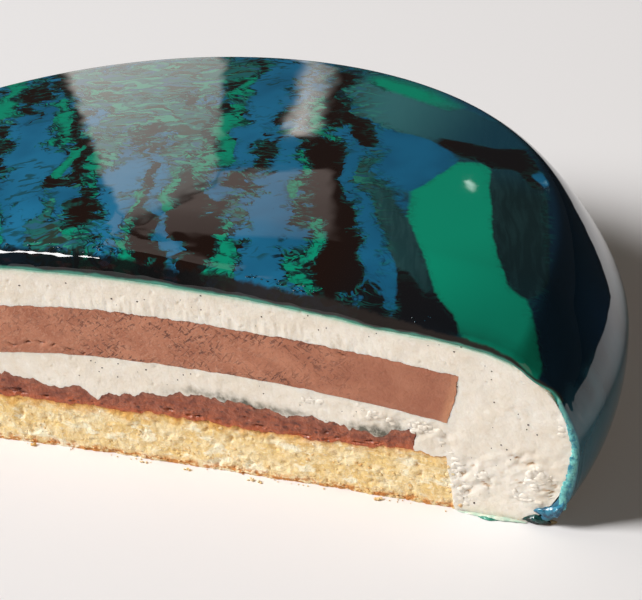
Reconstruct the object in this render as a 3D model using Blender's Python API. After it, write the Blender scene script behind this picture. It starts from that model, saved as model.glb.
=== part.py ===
"""Half of a mirror-glazed entremet cake, cut across so that its layers show.

A sponge base, a crunchy praline layer and a cremeux insert lie in vanilla mousse, which wraps them
round the back, over the top and at both ends, and is open at the cut. A thin mirror glaze covers the
top and the side and is dragged down a little over the top edge of the cut by the knife.

Driving dimensions are in millimetres. X runs along the cut, +Y goes from the cut to the round back and
+Z is up. The working centre is the axis of the whole round cake, and SHIFT_Y moves the finished half so
that the origin lies under the middle of its box, on the surface it stands on.
"""
import math
from dataclasses import dataclass
from typing import Callable

import bmesh
import bpy
from mathutils import Vector, noise

MM = 0.001
GAP = 0.3                       # clearance between two touching pieces

# The glazed outside, as radius and height
RADIUS = 92.0                   # widest, part of the way up the side
WIDEST_Z = 19.0
FOOT_RADIUS = 82.3              # where the glaze curls under, just clear of the table
FOOT_Z = 0.4
CAP_RADIUS = 80.5               # the shallow dome ends here and the shoulder starts
CAP_Z = 39.5
TOP_Z = 45.0
LOWER_PULL = (7.4, 1.2)         # the side leaves the foot outwards and a little up
LOWER_RISE = 4.5                # and turns upright this far below its widest
SHOULDER_RISE = 3.5             # the side stays upright this far above its widest
SHOULDER_REACH = 4.0            # and the shoulder runs on along the dome this far

# The cut, a shallow hollow curve seen from above
CUT_END_Y = -10.0
CUT_BOW = 3.0

# The top edge is pressed down at the cut: a tight roll, and a long sag behind it
DROP_MIDDLE = 5.7
DROP_END = 6.3
ROLL_MIDDLE = 4.0
ROLL_END = 1.5
ROLL_END_X = 75.0
SAG_LENGTH = 18.0
PRESS_FROM_Z = 26.0             # no press on the side below this height
PRESS_FULL_Z = 38.0

# Glaze
GLAZE = 1.2
GLAZE_LIP = 0.5                 # thin where it is dragged over the cut
GLAZE_LIP_DEPTH = 8.0
GLAZE_FOOT = 2.2                # it gathers low on the side
GLAZE_TIP = 0.8
GLAZE_GATHER_Z = 12.0

# Mousse
MOUSSE_BASE_RADIUS = 80.3
MOUSSE_LEDGE = 0.6              # the step under the glaze's lip
MOUSSE_CRAG = 0.35
MOUSSE_CRAG_SCALE = 6.0
MOUSSE_SEED = 4.0

# Layers: radii of the lower and upper edge, and heights
SPONGE_RADII = (66.8, 66.0)
SPONGE_Z = 10.3
SPONGE_RIM_RISE = 1.0
SPONGE_RIM_FROM = 46.0
SPONGE_WAVE = 0.35
SPONGE_WAVE_ALONG = (7.0, 9.0)  # how slowly the wave goes along x and along y
PRALINE_RADII = (60.0, 60.6)
PRALINE_Z = 15.2
PRALINE_WAVE = 1.15
PRALINE_WAVELENGTH = 50.0
PRALINE_CREST_X = 23.0
PRALINE_SKEW = 23.0             # its crests run a little aslant
PRALINE_RIPPLES = ((0.35, 3.1, 20.0), (0.25, 1.9, -15.0))   # height, then how slowly along x and y
PRALINE_CALM_FROM = 40.0        # flatter towards its rim
PRALINE_CALM = 0.3
CREMEUX_RADII = (67.0, 70.6)
CREMEUX_LOW_Z = 21.8
CREMEUX_LOW_FALL = 4.2          # the insert bends down towards its rim
CREMEUX_LOW_POWER = 2.2
CREMEUX_TOP_Z = 32.0
CREMEUX_TOP_FALL = 3.6
CREMEUX_TOP_POWER = 1.8
CREMEUX_CROWN_X = 6.0           # the insert sits a little to one side
CREMEUX_DIP = 1.0               # and sags a little here
CREMEUX_DIP_X = -26.0
CREMEUX_DIP_WIDTH = 14.0

FINE_RELIEF = 2.3               # how much finer the second octave of a cut face's relief is

# Mesh steps: along the cut, from the cut to the back, and up the side
BODY_COLUMNS = 30
BODY_ROWS = 11
ROLL_ROWS = 4
LOWER_STEPS = 5
SHOULDER_STEPS = 6
ROW_GROWTH = 1.4                # rows widen away from the cut
CORNER_ANGLE = math.radians(38)  # where the ends of the half disc give way to its back
SHARP_ANGLE = math.radians(50)  # edges turned by more than this are shaded sharp
LAYER_ROWS = 6
POCKET_AHEAD = 3.0

# sub-part: colour, roughness, coat
LOOKS = {
    "mirror_glaze": ((0.010, 0.075, 0.095), 0.05, 1.0),
    "vanilla_mousse": ((0.780, 0.710, 0.600), 0.60, 0.0),
    "cremeux_insert": ((0.390, 0.160, 0.100), 0.50, 0.0),
    "praline_crunch": ((0.280, 0.095, 0.050), 0.60, 0.0),
    "sponge_base": ((0.750, 0.560, 0.280), 0.85, 0.0),
}


# ---------------------------------------------------------------- small helpers

def smooth(x, low, high):
    """0 below low, 1 above high, and an S-curve between."""
    t = min(1.0, max(0.0, (x - low) / (high - low)))
    return t * t * (3.0 - 2.0 * t)


def mix(a, b, t):
    return a + (b - a) * t


def bezier(points, t):
    """A point (radius, height) of a cubic curve."""
    s = 1.0 - t
    weights = (s * s * s, 3 * s * s * t, 3 * s * t * t, t * t * t)
    return tuple(sum(w * p[axis] for w, p in zip(weights, points)) for axis in (0, 1))


def relief(x, z, scale, seed):
    """Smooth unevenness from 0 to 1 over a cut face, in bumps about as wide as scale."""
    coarse = noise.noise(Vector((x / scale, z / scale, seed)))
    fine_scale = scale / FINE_RELIEF
    fine = noise.noise(Vector((x / fine_scale, z / fine_scale, seed + 7.0)))
    return min(1.0, max(0.0, 0.5 + 0.7 * coarse + 0.35 * fine))


# ---------------------------------------------------------------- form of the cake

def cut_y(x):
    return CUT_END_Y + CUT_BOW * (1.0 - (x / RADIUS) ** 2)


def dome_z(radius):
    return TOP_Z - (TOP_Z - CAP_Z) * (radius / CAP_RADIUS) ** 2


def side_profile():
    """The side as (radius, height), from the foot up to the rim of the dome."""
    foot = (FOOT_RADIUS, FOOT_Z)
    widest = (RADIUS, WIDEST_Z)
    lower = (
        foot,
        (FOOT_RADIUS + LOWER_PULL[0], FOOT_Z + LOWER_PULL[1]),
        (RADIUS, WIDEST_Z - LOWER_RISE),
        widest,
    )
    slope = 2.0 * (TOP_Z - CAP_Z) / CAP_RADIUS
    shoulder = (
        widest,
        (RADIUS, WIDEST_Z + SHOULDER_RISE),
        (CAP_RADIUS + SHOULDER_REACH, CAP_Z - slope * SHOULDER_REACH),
        (CAP_RADIUS, CAP_Z),
    )
    points = [bezier(lower, k / LOWER_STEPS) for k in range(LOWER_STEPS)]
    return points + [bezier(shoulder, k / SHOULDER_STEPS) for k in range(SHOULDER_STEPS + 1)]


SIDE = side_profile()


def roll_radius(x):
    return max(ROLL_END, mix(ROLL_MIDDLE, ROLL_END, abs(x) / ROLL_END_X))


def press(x, z, depth):
    """How far the surface is pressed down at this depth behind the cut."""
    roll = roll_radius(x)
    tight = 0.0
    if depth < roll:
        tight = roll * (1.0 - math.sqrt(1.0 - (1.0 - depth / roll) ** 2))
    drop = mix(DROP_MIDDLE, DROP_END, abs(x) / CAP_RADIUS)
    sag = (drop - roll) * (1.0 - smooth(depth, 0.0, SAG_LENGTH))
    return (tight + sag) * smooth(z, PRESS_FROM_Z, PRESS_FULL_Z)


# ---------------------------------------------------------------- half discs in plan

def ring_end(radius):
    """The point where a ring round the axis meets the cut."""
    x = radius
    for _ in range(12):
        x = math.sqrt(radius * radius - cut_y(x) ** 2)
    return x, cut_y(x)


def row_depth(row, rows, length, roll, roll_rows):
    """Distance of a row behind the cut: close rows over the roll, then wider and wider."""
    if row < roll_rows:
        return roll * (1.0 - math.cos(0.5 * math.pi * row / roll_rows))
    step = (row - roll_rows) / (rows - roll_rows)
    return roll + (length - roll) * step ** ROW_GROWTH


def plan_point(column, columns, row, rows, radius, roll_rows=0):
    """Place of one lattice point in a half disc, as (x, y, depth behind the cut)."""
    u = 2.0 * column / columns - 1.0
    end_x, end_y = ring_end(radius)
    front_x = end_x * u
    front_y = cut_y(front_x)
    angle = 0.5 * math.pi - (0.5 * math.pi - CORNER_ANGLE) * u
    back_x = radius * math.cos(angle)
    back_y = radius * math.sin(angle)
    roll = roll_radius(front_x) if roll_rows else 0.0
    depth = row_depth(row, rows, back_y - front_y, roll, roll_rows)
    t = depth / (back_y - front_y)
    # the ends of the half disc bulge out from the straight column to the ring
    corner_y = radius * math.sin(CORNER_ANGLE)
    ring_x = math.sqrt(radius * radius - mix(end_y, corner_y, t) ** 2)
    bulge = ring_x - mix(end_x, radius * math.cos(CORNER_ANGLE), t)
    x = mix(front_x, back_x, t) + bulge * u * abs(u)
    return x, mix(front_y, back_y, t), depth


# ---------------------------------------------------------------- box lattices

def lattice_sides(columns, rows, steps):
    """The six sides of a box lattice, each a list of quads of (column, row, step), faces out."""
    sides = {"top": [], "bottom": [], "front": [], "back": [], "left": [], "right": []}
    for i in range(columns):
        for j in range(rows):
            quad = [(i, j), (i + 1, j), (i + 1, j + 1), (i, j + 1)]
            sides["top"].append([(a, b, steps) for a, b in quad])
            sides["bottom"].append([(a, b, 0) for a, b in reversed(quad)])
        for k in range(steps):
            quad = [(i, k), (i + 1, k), (i + 1, k + 1), (i, k + 1)]
            sides["front"].append([(a, 0, b) for a, b in quad])
            sides["back"].append([(a, rows, b) for a, b in reversed(quad)])
    for j in range(rows):
        for k in range(steps):
            quad = [(j, k), (j + 1, k), (j + 1, k + 1), (j, k + 1)]
            sides["right"].append([(columns, a, b) for a, b in quad])
            sides["left"].append([(0, a, b) for a, b in reversed(quad)])
    return sides


def collect(quads, place):
    """The points that the quads use, as {key: Vector}, with place(key) giving each one."""
    points = {}
    for quad in quads:
        for key in quad:
            if key not in points:
                points[key] = Vector(place(*key))
    return points


def skin_normals(quads, points):
    """The outward normal at each point of an open sheet of quads."""
    normals = {key: Vector((0.0, 0.0, 0.0)) for key in points}
    for quad in quads:
        a, b, c, d = (points[key] for key in quad)
        face = (c - a).cross(d - b)
        for key in quad:
            normals[key] += face.normalized()
    return {key: normal.normalized() for key, normal in normals.items()}


def add_object(name, points, quads):
    """A smooth-shaded mesh object with its own material."""
    mesh = bpy.data.meshes.new(name)
    obj = bpy.data.objects.new(name, mesh)
    bpy.context.collection.objects.link(obj)
    bm = bmesh.new()
    shift = Vector((0.0, SHIFT_Y, 0.0))
    corners = {key: bm.verts.new(MM * (point + shift)) for key, point in points.items()}
    for quad in quads:
        bm.faces.new([corners[key] for key in quad])
    # a curved quad is ambiguous where a pocket is cut through it, and two triangles aren't
    bmesh.ops.triangulate(bm, faces=bm.faces)
    bm.to_mesh(mesh)
    bm.free()
    mesh.shade_smooth()
    mesh.set_sharp_from_angle(angle=SHARP_ANGLE)
    if name in LOOKS:
        mesh.materials.append(make_material(name))
    return obj


def make_material(name):
    colour, roughness, coat = LOOKS[name]
    material = bpy.data.materials.new(name)
    material.use_nodes = True
    shader = material.node_tree.nodes["Principled BSDF"]
    shader.inputs["Base Color"].default_value = (*colour, 1.0)
    shader.inputs["Roughness"].default_value = roughness
    shader.inputs["Metallic"].default_value = 0.0
    shader.inputs["Coat Weight"].default_value = coat
    material.diffuse_color = (*colour, 1.0)
    return material


# ---------------------------------------------------------------- outside of the cake

BODY_STEPS = LOWER_STEPS + SHOULDER_STEPS
BODY_SIDES = lattice_sides(BODY_COLUMNS, BODY_ROWS, BODY_STEPS)
SKIN = BODY_SIDES["top"] + BODY_SIDES["back"] + BODY_SIDES["left"] + BODY_SIDES["right"]
SHIFT_Y = -0.5 * (RADIUS + ring_end(RADIUS)[1])


def skin_point(column, row, step):
    """A point on the outside of the glaze: on the dome, or on the side below it."""
    radius, z = SIDE[step]
    x, y, depth = plan_point(column, BODY_COLUMNS, row, BODY_ROWS, radius, ROLL_ROWS)
    if step == BODY_STEPS:
        z = dome_z(math.hypot(x, y))
    return x, y, z - press(x, z, depth)


def glaze_thickness(key, point):
    """Thin at the lip, even over the top, and gathered low on the side."""
    if key[2] == 0:
        return GLAZE_TIP
    depth = point.y - cut_y(point.x)
    pressed = smooth(point.z, PRESS_FROM_Z, PRESS_FULL_Z - DROP_END)
    lip = mix(1.0, mix(GLAZE_LIP / GLAZE, 1.0, smooth(depth, 0.0, GLAZE_LIP_DEPTH)), pressed)
    return mix(GLAZE_FOOT, GLAZE, smooth(point.z, 0.0, GLAZE_GATHER_Z)) * lip


SKIN_POINTS = collect(SKIN, skin_point)
SKIN_NORMALS = skin_normals(SKIN, SKIN_POINTS)


def inset_skin(extra):
    """The skin moved in by the glaze's thickness and a little more."""
    moved = {}
    for key, point in SKIN_POINTS.items():
        moved[key] = point - SKIN_NORMALS[key] * (glaze_thickness(key, point) + extra)
    return moved


def make_glaze():
    """The skin and its inner face, joined by a rim along the cut and round the foot."""
    points = {("out", key): point for key, point in SKIN_POINTS.items()}
    points.update({("in", key): point for key, point in inset_skin(0.0).items()})
    quads = [[("out", key) for key in quad] for quad in SKIN]
    quads += [[("in", key) for key in reversed(quad)] for quad in SKIN]
    edges = {(quad[n - 1], quad[n]) for quad in SKIN for n in range(4)}
    for a, b in sorted(edges):
        if (b, a) not in edges:
            quads.append([("out", b), ("out", a), ("in", a), ("in", b)])
    return add_object("mirror_glaze", points, quads)


# ---------------------------------------------------------------- layers

def sponge_top_z(x, y):
    radius = math.hypot(x, y)
    rim = SPONGE_RIM_RISE * smooth(radius, SPONGE_RIM_FROM, SPONGE_RADII[1])
    along, across = SPONGE_WAVE_ALONG
    return SPONGE_Z + rim + SPONGE_WAVE * math.sin(x / along + 0.5) * math.cos(y / across)


def praline_top_z(x, y):
    wave = math.cos(2.0 * math.pi * (x - PRALINE_CREST_X) / PRALINE_WAVELENGTH + y / PRALINE_SKEW)
    ripple = sum(height * math.sin(x / along + y / across) for height, along, across in PRALINE_RIPPLES)
    calm = mix(1.0, PRALINE_CALM, smooth(math.hypot(x, y), PRALINE_CALM_FROM, PRALINE_RADII[1]))
    return PRALINE_Z + calm * (PRALINE_WAVE * wave + ripple)


def cremeux_sag(x, y, fall, power):
    """How far the insert bends down towards its rim, and where it sags."""
    off_crown = math.hypot(x - CREMEUX_CROWN_X, y) / CREMEUX_RADII[0]
    off_dip = (x - CREMEUX_DIP_X) / CREMEUX_DIP_WIDTH
    return fall * off_crown ** power + CREMEUX_DIP * math.exp(-off_dip * off_dip)


def cremeux_low_z(x, y):
    return CREMEUX_LOW_Z - cremeux_sag(x, y, CREMEUX_LOW_FALL, CREMEUX_LOW_POWER)


def cremeux_top_z(x, y):
    return CREMEUX_TOP_Z - cremeux_sag(x, y, CREMEUX_TOP_FALL, CREMEUX_TOP_POWER)


@dataclass
class Layer:
    """A half disc between two surfaces, with a craggy cut face."""

    radii: tuple
    low_z: Callable
    top_z: Callable
    columns: int
    steps: int
    crag: float                 # depth of the unevenness of the cut face
    crag_scale: float
    seed: float
    pocket_below: float = GAP   # how far its pocket reaches below it

    def quads(self, rows):
        sides = lattice_sides(self.columns, rows, self.steps)
        return [quad for side in sides.values() for quad in side]

    def solid_point(self, column, row, step):
        t = step / self.steps
        radius = mix(*self.radii, t)
        x, y, _ = plan_point(column, self.columns, row, LAYER_ROWS, radius)
        z = mix(self.low_z(x, y), self.top_z(x, y), t)
        if row == 0:
            y += self.crag * relief(x, z, self.crag_scale, self.seed)
        return x, y, z

    def pocket_point(self, column, row, step):
        """The same form, GAP larger all round, with one more row to run it out through the cut."""
        t = step / self.steps
        radius = mix(*self.radii, t) + GAP
        x, y, _ = plan_point(column, self.columns, max(0, row - 1), LAYER_ROWS, radius)
        z = mix(self.low_z(x, y) - self.pocket_below, self.top_z(x, y) + GAP, t)
        return x, y - (POCKET_AHEAD if row == 0 else 0.0), z

    def make_solid(self, name):
        quads = self.quads(LAYER_ROWS)
        return add_object(name, collect(quads, self.solid_point), quads)

    def make_cutter(self, name):
        quads = self.quads(LAYER_ROWS + 1)
        cutter = add_object(name, collect(quads, self.pocket_point), quads)
        cutter.hide_render = True
        cutter.display_type = "WIRE"
        return cutter


def table_z(x, y):
    return 0.0


def praline_low_z(x, y):
    return sponge_top_z(x, y) + GAP


# odd numbers of columns keep a layer's mesh lines off those of the mousse round it
SPONGE = Layer(
    radii=SPONGE_RADII, low_z=table_z, top_z=sponge_top_z, columns=41, steps=4,
    crag=0.8, crag_scale=3.5, seed=1.0, pocket_below=3.0,
)
PRALINE = Layer(
    radii=PRALINE_RADII, low_z=praline_low_z, top_z=praline_top_z, columns=45, steps=2,
    crag=0.6, crag_scale=4.5, seed=2.0, pocket_below=2.0,
)
CREMEUX = Layer(
    radii=CREMEUX_RADII, low_z=cremeux_low_z, top_z=cremeux_top_z, columns=27, steps=3,
    crag=0.2, crag_scale=6.0, seed=3.0,
)


# ---------------------------------------------------------------- mousse

MOUSSE_SKIN = inset_skin(GAP)


def base_point(column, row):
    x, y, _ = plan_point(column, BODY_COLUMNS, row, BODY_ROWS, MOUSSE_BASE_RADIUS, ROLL_ROWS)
    return Vector((x, y, 0.0))


def cut_face_point(column, step):
    """A point inside the mousse's cut face, between the base, the top edge and the two ends."""
    u = 2.0 * column / BODY_COLUMNS - 1.0
    top = MOUSSE_SKIN[(column, 0, BODY_STEPS)]
    low = base_point(column, 0)
    height = step / (BODY_STEPS - 1) * (1.0 - MOUSSE_LEDGE / top.z)
    edge_column = BODY_COLUMNS if u > 0 else 0
    edge = MOUSSE_SKIN[(edge_column, 0, step)]
    edge_top = MOUSSE_SKIN[(edge_column, 0, BODY_STEPS)]
    edge_low = base_point(edge_column, 0)
    weight = abs(u) ** 3
    x = mix(low.x, top.x, height) + weight * (edge.x - mix(edge_low.x, edge_top.x, height))
    z = top.z * height + weight * (edge.z - edge_top.z * height)
    inward = MOUSSE_CRAG * relief(x, z, MOUSSE_CRAG_SCALE, MOUSSE_SEED)
    return x, cut_y(x) + inward, z


def mousse_point(column, row, step):
    if step == 0:
        return base_point(column, row)
    inside_cut = row == 0 and 0 < column < BODY_COLUMNS and step < BODY_STEPS
    if inside_cut:
        return cut_face_point(column, step)
    return MOUSSE_SKIN[(column, row, step)]


def make_mousse():
    """The whole half under the glaze, with a pocket for each layer cut out of it."""
    quads = [quad for side in BODY_SIDES.values() for quad in side]
    mousse = add_object("vanilla_mousse", collect(quads, mousse_point), quads)
    pockets = {"sponge_pocket": SPONGE, "praline_pocket": PRALINE, "cremeux_pocket": CREMEUX}
    for name, layer in pockets.items():
        cut = mousse.modifiers.new(name, "BOOLEAN")
        cut.operation = "DIFFERENCE"
        cut.solver = "EXACT"
        cut.object = layer.make_cutter(name)
    return mousse


def main():
    for obj in list(bpy.data.objects):
        bpy.data.objects.remove(obj, do_unlink=True)
    make_glaze()
    make_mousse()
    CREMEUX.make_solid("cremeux_insert")
    PRALINE.make_solid("praline_crunch")
    SPONGE.make_solid("sponge_base")


main()
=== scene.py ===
"""Looks of half a mirror-glazed entremet cake, cut across so that its layers show.

A thin marbled glaze covers the top and the side, and its lip is dragged down over the top edge of the
cut. Inside it lie vanilla mousse, a cremeux insert, a praline layer and a sponge base. The forms repeat
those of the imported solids, with a much finer surface on the cut. Sizes are in millimetres about the axis
of the whole round cake, and SHIFT moves them into the frame.
"""
import math
from functools import cached_property

import bpy
import numpy as np
from mathutils import Matrix, Vector


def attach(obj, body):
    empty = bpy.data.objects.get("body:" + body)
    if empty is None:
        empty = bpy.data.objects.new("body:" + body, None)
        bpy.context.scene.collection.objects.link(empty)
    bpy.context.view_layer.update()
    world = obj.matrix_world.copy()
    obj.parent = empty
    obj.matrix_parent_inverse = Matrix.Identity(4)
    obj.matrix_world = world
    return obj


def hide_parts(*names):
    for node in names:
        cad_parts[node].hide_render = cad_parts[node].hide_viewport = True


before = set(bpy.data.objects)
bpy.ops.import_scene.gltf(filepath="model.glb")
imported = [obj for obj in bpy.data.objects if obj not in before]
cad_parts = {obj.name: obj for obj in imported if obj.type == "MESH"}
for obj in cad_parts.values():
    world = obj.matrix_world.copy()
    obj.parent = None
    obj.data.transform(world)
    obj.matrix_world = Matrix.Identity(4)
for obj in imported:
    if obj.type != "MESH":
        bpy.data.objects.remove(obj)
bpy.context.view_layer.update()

BODY = "root"
MM = 0.001

# ---- form of the cake, as in the solids
RADIUS = 92.0
WIDEST_Z = 19.0
FOOT_RADIUS = 82.3
FOOT_Z = 0.4
CAP_RADIUS = 80.5
CAP_Z = 39.5
TOP_Z = 45.0
LOWER_PULL = (7.4, 1.2)
LOWER_RISE = 4.5
SHOULDER_RISE = 3.5
SHOULDER_REACH = 4.0
CUT_END_Y = -10.0
CUT_BOW = 3.0
DROP_MIDDLE = 5.7
DROP_END = 6.3
ROLL_MIDDLE = 4.0
ROLL_END = 1.5
ROLL_END_X = 75.0
SAG_LENGTH = 18.0
PRESS_FROM_Z = 26.0
PRESS_FULL_Z = 38.0
GLAZE = 1.2
GLAZE_LIP = 0.5
GLAZE_LIP_DEPTH = 8.0
GLAZE_FOOT = 2.2
GLAZE_TIP = 0.8
GLAZE_TIP_SHARE = 0.2           # the tip thickens over this share of the lower side
GLAZE_GATHER_Z = 12.0
MOUSSE_BASE_RADIUS = 80.3
SPONGE_RADII = (66.8, 66.0)
SPONGE_Z = 10.3
SPONGE_RIM_RISE = 1.0
SPONGE_RIM_FROM = 46.0
SPONGE_WAVE = 0.35
SPONGE_WAVE_ALONG = (7.0, 9.0)
PRALINE_RADII = (60.0, 60.6)
PRALINE_Z = 15.2
PRALINE_WAVE = 1.15
PRALINE_WAVELENGTH = 50.0
PRALINE_CREST_X = 23.0
PRALINE_SKEW = 23.0
PRALINE_RIPPLES = ((0.35, 3.1, 20.0), (0.25, 1.9, -15.0))
PRALINE_CALM_FROM = 40.0
PRALINE_CALM = 0.3
CREMEUX_RADII = (67.0, 70.6)
CREMEUX_LOW_Z = 21.8
CREMEUX_LOW_FALL = 4.2
CREMEUX_LOW_POWER = 2.2
CREMEUX_TOP_Z = 32.0
CREMEUX_TOP_FALL = 3.6
CREMEUX_TOP_POWER = 1.8
CREMEUX_CROWN_X = 6.0
CREMEUX_DIP = 1.0
CREMEUX_DIP_X = -26.0
CREMEUX_DIP_WIDTH = 14.0
ROW_GROWTH = 1.4
CORNER_ANGLE = math.radians(38)
SHARP_ANGLE = math.radians(50)
LIP_TRIM_AT = (0.0, 48.0, 55.0, 60.0, 66.0, 72.0, 76.0, 79.0, 81.0, 83.0, 85.0, 92.0)
LIP_TRIM = (0.0, 0.0, -0.2, 0.1, 0.55, 0.7, 0.6, 0.1, -0.4, -0.2, 0.1, 0.0)
LIP_TRIM_DEPTH = 5.0            # the trims of the lip's height fade out this far behind the cut

# ---- fineness of the pieces made here
SKIN_COLUMNS = 260
SKIN_ROWS = 96
SKIN_ROLL_ROWS = 10
LOWER_STEPS = 16
SHOULDER_STEPS = 24
CORE_GAP = 0.04                 # between two layers that cling to each other

# ---- the camera, about the axis of the cake
CAMERA_AT = (256.2082, -413.5843, 306.0604)
CAMERA_YAW = math.radians(-27.5195)
CAMERA_PITCH = math.radians(30.1418)
CAMERA_ROLL = math.radians(-7.8762)
FRAME_WIDTH = 642
FRAME_HEIGHT = 600
CAMERA_FOCAL_PX = 3038.495
SENSOR_MM = 36.0
CAMERA_CLIP = (0.05, 20.0)      # metres


# ---------------------------------------------------------------- numbers

def mix(a, b, t):
    return a + (b - a) * t


def smooth(x, low, high):
    """0 below low, 1 above high, and an S-curve between."""
    t = np.clip((x - low) / (high - low), 0.0, 1.0)
    return t * t * (3.0 - 2.0 * t)


def on_sheet(a, b):
    """Points (a, b, 0), for noise over a flat sheet."""
    return np.stack([a, b, 0.0 * a], axis=1)


def lattice_random(cells, seed):
    """A random number from 0 to 1 for each whole-number cell."""
    n = cells[..., 0] * 374761393 + cells[..., 1] * 668265263 + cells[..., 2] * 1440670441 + seed * 97463477
    n = ((n & 0xFFFFFFFF) ^ ((n & 0xFFFFFFFF) >> 13)) * 1274126177
    n = n & 0xFFFFFFFF
    return ((n ^ (n >> 16)) & 0xFFFFFF) / 0xFFFFFF


def value_noise(points, seed):
    """Smooth noise from -1 to 1 with features about one unit wide."""
    base = np.floor(points).astype(np.int64)
    f = points - base
    w = f * f * f * (f * (6.0 * f - 15.0) + 10.0)
    total = np.zeros(len(points))
    for corner in np.ndindex(2, 2, 2):
        share = np.prod(np.where(corner, w, 1.0 - w), axis=1)
        total += share * lattice_random(base + np.array(corner), seed)
    return 2.0 * total - 1.0


def noise(points, size, seed, octaves=3, gain=0.5):
    """Noise from about -1 to 1, with features of this size (one number, or one for each axis)."""
    scaled = points / np.asarray(size, float)
    total = np.zeros(len(points))
    for octave in range(octaves):
        total += gain ** octave * value_noise(scaled * 2.03 ** octave + 17.3 * octave, seed + 11 * octave)
    return total / sum(gain ** octave for octave in range(octaves))


def bubbles(points, size, seed):
    """Distance to the nearest of scattered points, in units of size, and that point's own random number."""
    scaled = points / size
    base = np.floor(scaled).astype(np.int64)
    nearest = np.full(len(points), 9.0)
    own = np.zeros(len(points))
    for corner in np.ndindex(3, 3, 3):
        cell = base + np.array(corner) - 1
        offset = np.stack([lattice_random(cell, seed + axis) for axis in range(3)], axis=1)
        distance = np.linalg.norm(scaled - cell - offset, axis=1)
        closer = distance < nearest
        nearest = np.where(closer, distance, nearest)
        own = np.where(closer, lattice_random(cell, seed + 5), own)
    return nearest, own


def linear(colour):
    """An sRGB colour given as 0 to 255, made linear for a shader."""
    c = np.asarray(colour, float) / 255.0
    low = c / 12.92
    high = ((c + 0.055) / 1.055) ** 2.4
    return (*np.where(c <= 0.04045, low, high), 1.0)


# ---------------------------------------------------------------- form

def cut_y(x):
    return CUT_END_Y + CUT_BOW * (1.0 - (x / RADIUS) ** 2)


def dome_z(radius):
    return TOP_Z - (TOP_Z - CAP_Z) * (radius / CAP_RADIUS) ** 2


def bezier(points, t):
    s = 1.0 - t
    weights = (s ** 3, 3 * s * s * t, 3 * s * t * t, t ** 3)
    return sum(w[:, None] * np.array(p) for w, p in zip(weights, points))


def side_profile(lower_steps, shoulder_steps):
    """The side as rows of radius and height, from the foot up to the rim of the dome."""
    slope = 2.0 * (TOP_Z - CAP_Z) / CAP_RADIUS
    lower = (
        (FOOT_RADIUS, FOOT_Z),
        (FOOT_RADIUS + LOWER_PULL[0], FOOT_Z + LOWER_PULL[1]),
        (RADIUS, WIDEST_Z - LOWER_RISE),
        (RADIUS, WIDEST_Z),
    )
    shoulder = (
        (RADIUS, WIDEST_Z),
        (RADIUS, WIDEST_Z + SHOULDER_RISE),
        (CAP_RADIUS + SHOULDER_REACH, CAP_Z - slope * SHOULDER_REACH),
        (CAP_RADIUS, CAP_Z),
    )
    low = bezier(lower, np.arange(lower_steps) / lower_steps)
    high = bezier(shoulder, np.arange(shoulder_steps + 1) / shoulder_steps)
    return np.concatenate([low, high])


def roll_radius(x):
    return np.maximum(ROLL_END, mix(ROLL_MIDDLE, ROLL_END, np.abs(x) / ROLL_END_X))


def press(x, z, depth):
    """How far the surface is pressed down at this depth behind the cut."""
    roll = roll_radius(x)
    ahead = np.clip(1.0 - depth / roll, 0.0, 1.0)
    tight = roll * (1.0 - np.sqrt(1.0 - ahead ** 2))
    drop = mix(DROP_MIDDLE, DROP_END, np.abs(x) / CAP_RADIUS)
    sag = (drop - roll) * (1.0 - smooth(depth, 0.0, SAG_LENGTH))
    trim = np.interp(np.abs(x), LIP_TRIM_AT, LIP_TRIM) * (1.0 - smooth(depth, 0.0, LIP_TRIM_DEPTH))
    return (tight + sag - trim) * smooth(z, PRESS_FROM_Z, PRESS_FULL_Z)


def dome_height(x, y):
    """The height of the glaze's top here, with the sag near the cut but not the roll over its edge."""
    high = dome_z(np.hypot(x, y))
    return high - press(x, high, np.clip(y - cut_y(x), roll_radius(x), None))


def ring_end(radius):
    """Where a ring round the axis meets the cut."""
    x = radius
    for _ in range(12):
        x = np.sqrt(radius * radius - cut_y(x) ** 2)
    return x, cut_y(x)


SHIFT = np.array([0.0, -0.5 * (RADIUS + ring_end(RADIUS)[1]), 0.0])


def plan_points(u, row, rows, radius, roll_rows=0):
    """Lattice points in a half disc as x, y and depth: u goes from -1 to 1 along the cut."""
    end_x, end_y = ring_end(radius)
    front_x = end_x * u
    front_y = cut_y(front_x)
    angle = 0.5 * math.pi - (0.5 * math.pi - CORNER_ANGLE) * u
    back_x = radius * np.cos(angle)
    back_y = radius * np.sin(angle)
    length = back_y - front_y
    roll = roll_radius(front_x) if roll_rows else np.zeros_like(front_x)
    step = np.clip((row - roll_rows) / (rows - roll_rows), 0.0, 1.0)
    depth = roll + (length - roll) * step ** ROW_GROWTH
    if roll_rows:
        depth = np.where(row < roll_rows, roll * (1.0 - np.cos(0.5 * math.pi * row / roll_rows)), depth)
    t = depth / length
    corner_y = radius * math.sin(CORNER_ANGLE)
    ring_x = np.sqrt(radius * radius - mix(end_y, corner_y, t) ** 2)
    bulge = ring_x - mix(end_x, radius * math.cos(CORNER_ANGLE), t)
    return mix(front_x, back_x, t) + bulge * u * np.abs(u), mix(front_y, back_y, t), depth


def sponge_top_z(x, y):
    rim = SPONGE_RIM_RISE * smooth(np.hypot(x, y), SPONGE_RIM_FROM, SPONGE_RADII[1])
    along, across = SPONGE_WAVE_ALONG
    return SPONGE_Z + rim + SPONGE_WAVE * np.sin(x / along + 0.5) * np.cos(y / across)


def praline_top_z(x, y):
    wave = np.cos(2.0 * math.pi * (x - PRALINE_CREST_X) / PRALINE_WAVELENGTH + y / PRALINE_SKEW)
    ripple = sum(height * np.sin(x / along + y / across) for height, along, across in PRALINE_RIPPLES)
    calm = mix(1.0, PRALINE_CALM, smooth(np.hypot(x, y), PRALINE_CALM_FROM, PRALINE_RADII[1]))
    return PRALINE_Z + calm * (PRALINE_WAVE * wave + ripple)


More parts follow.
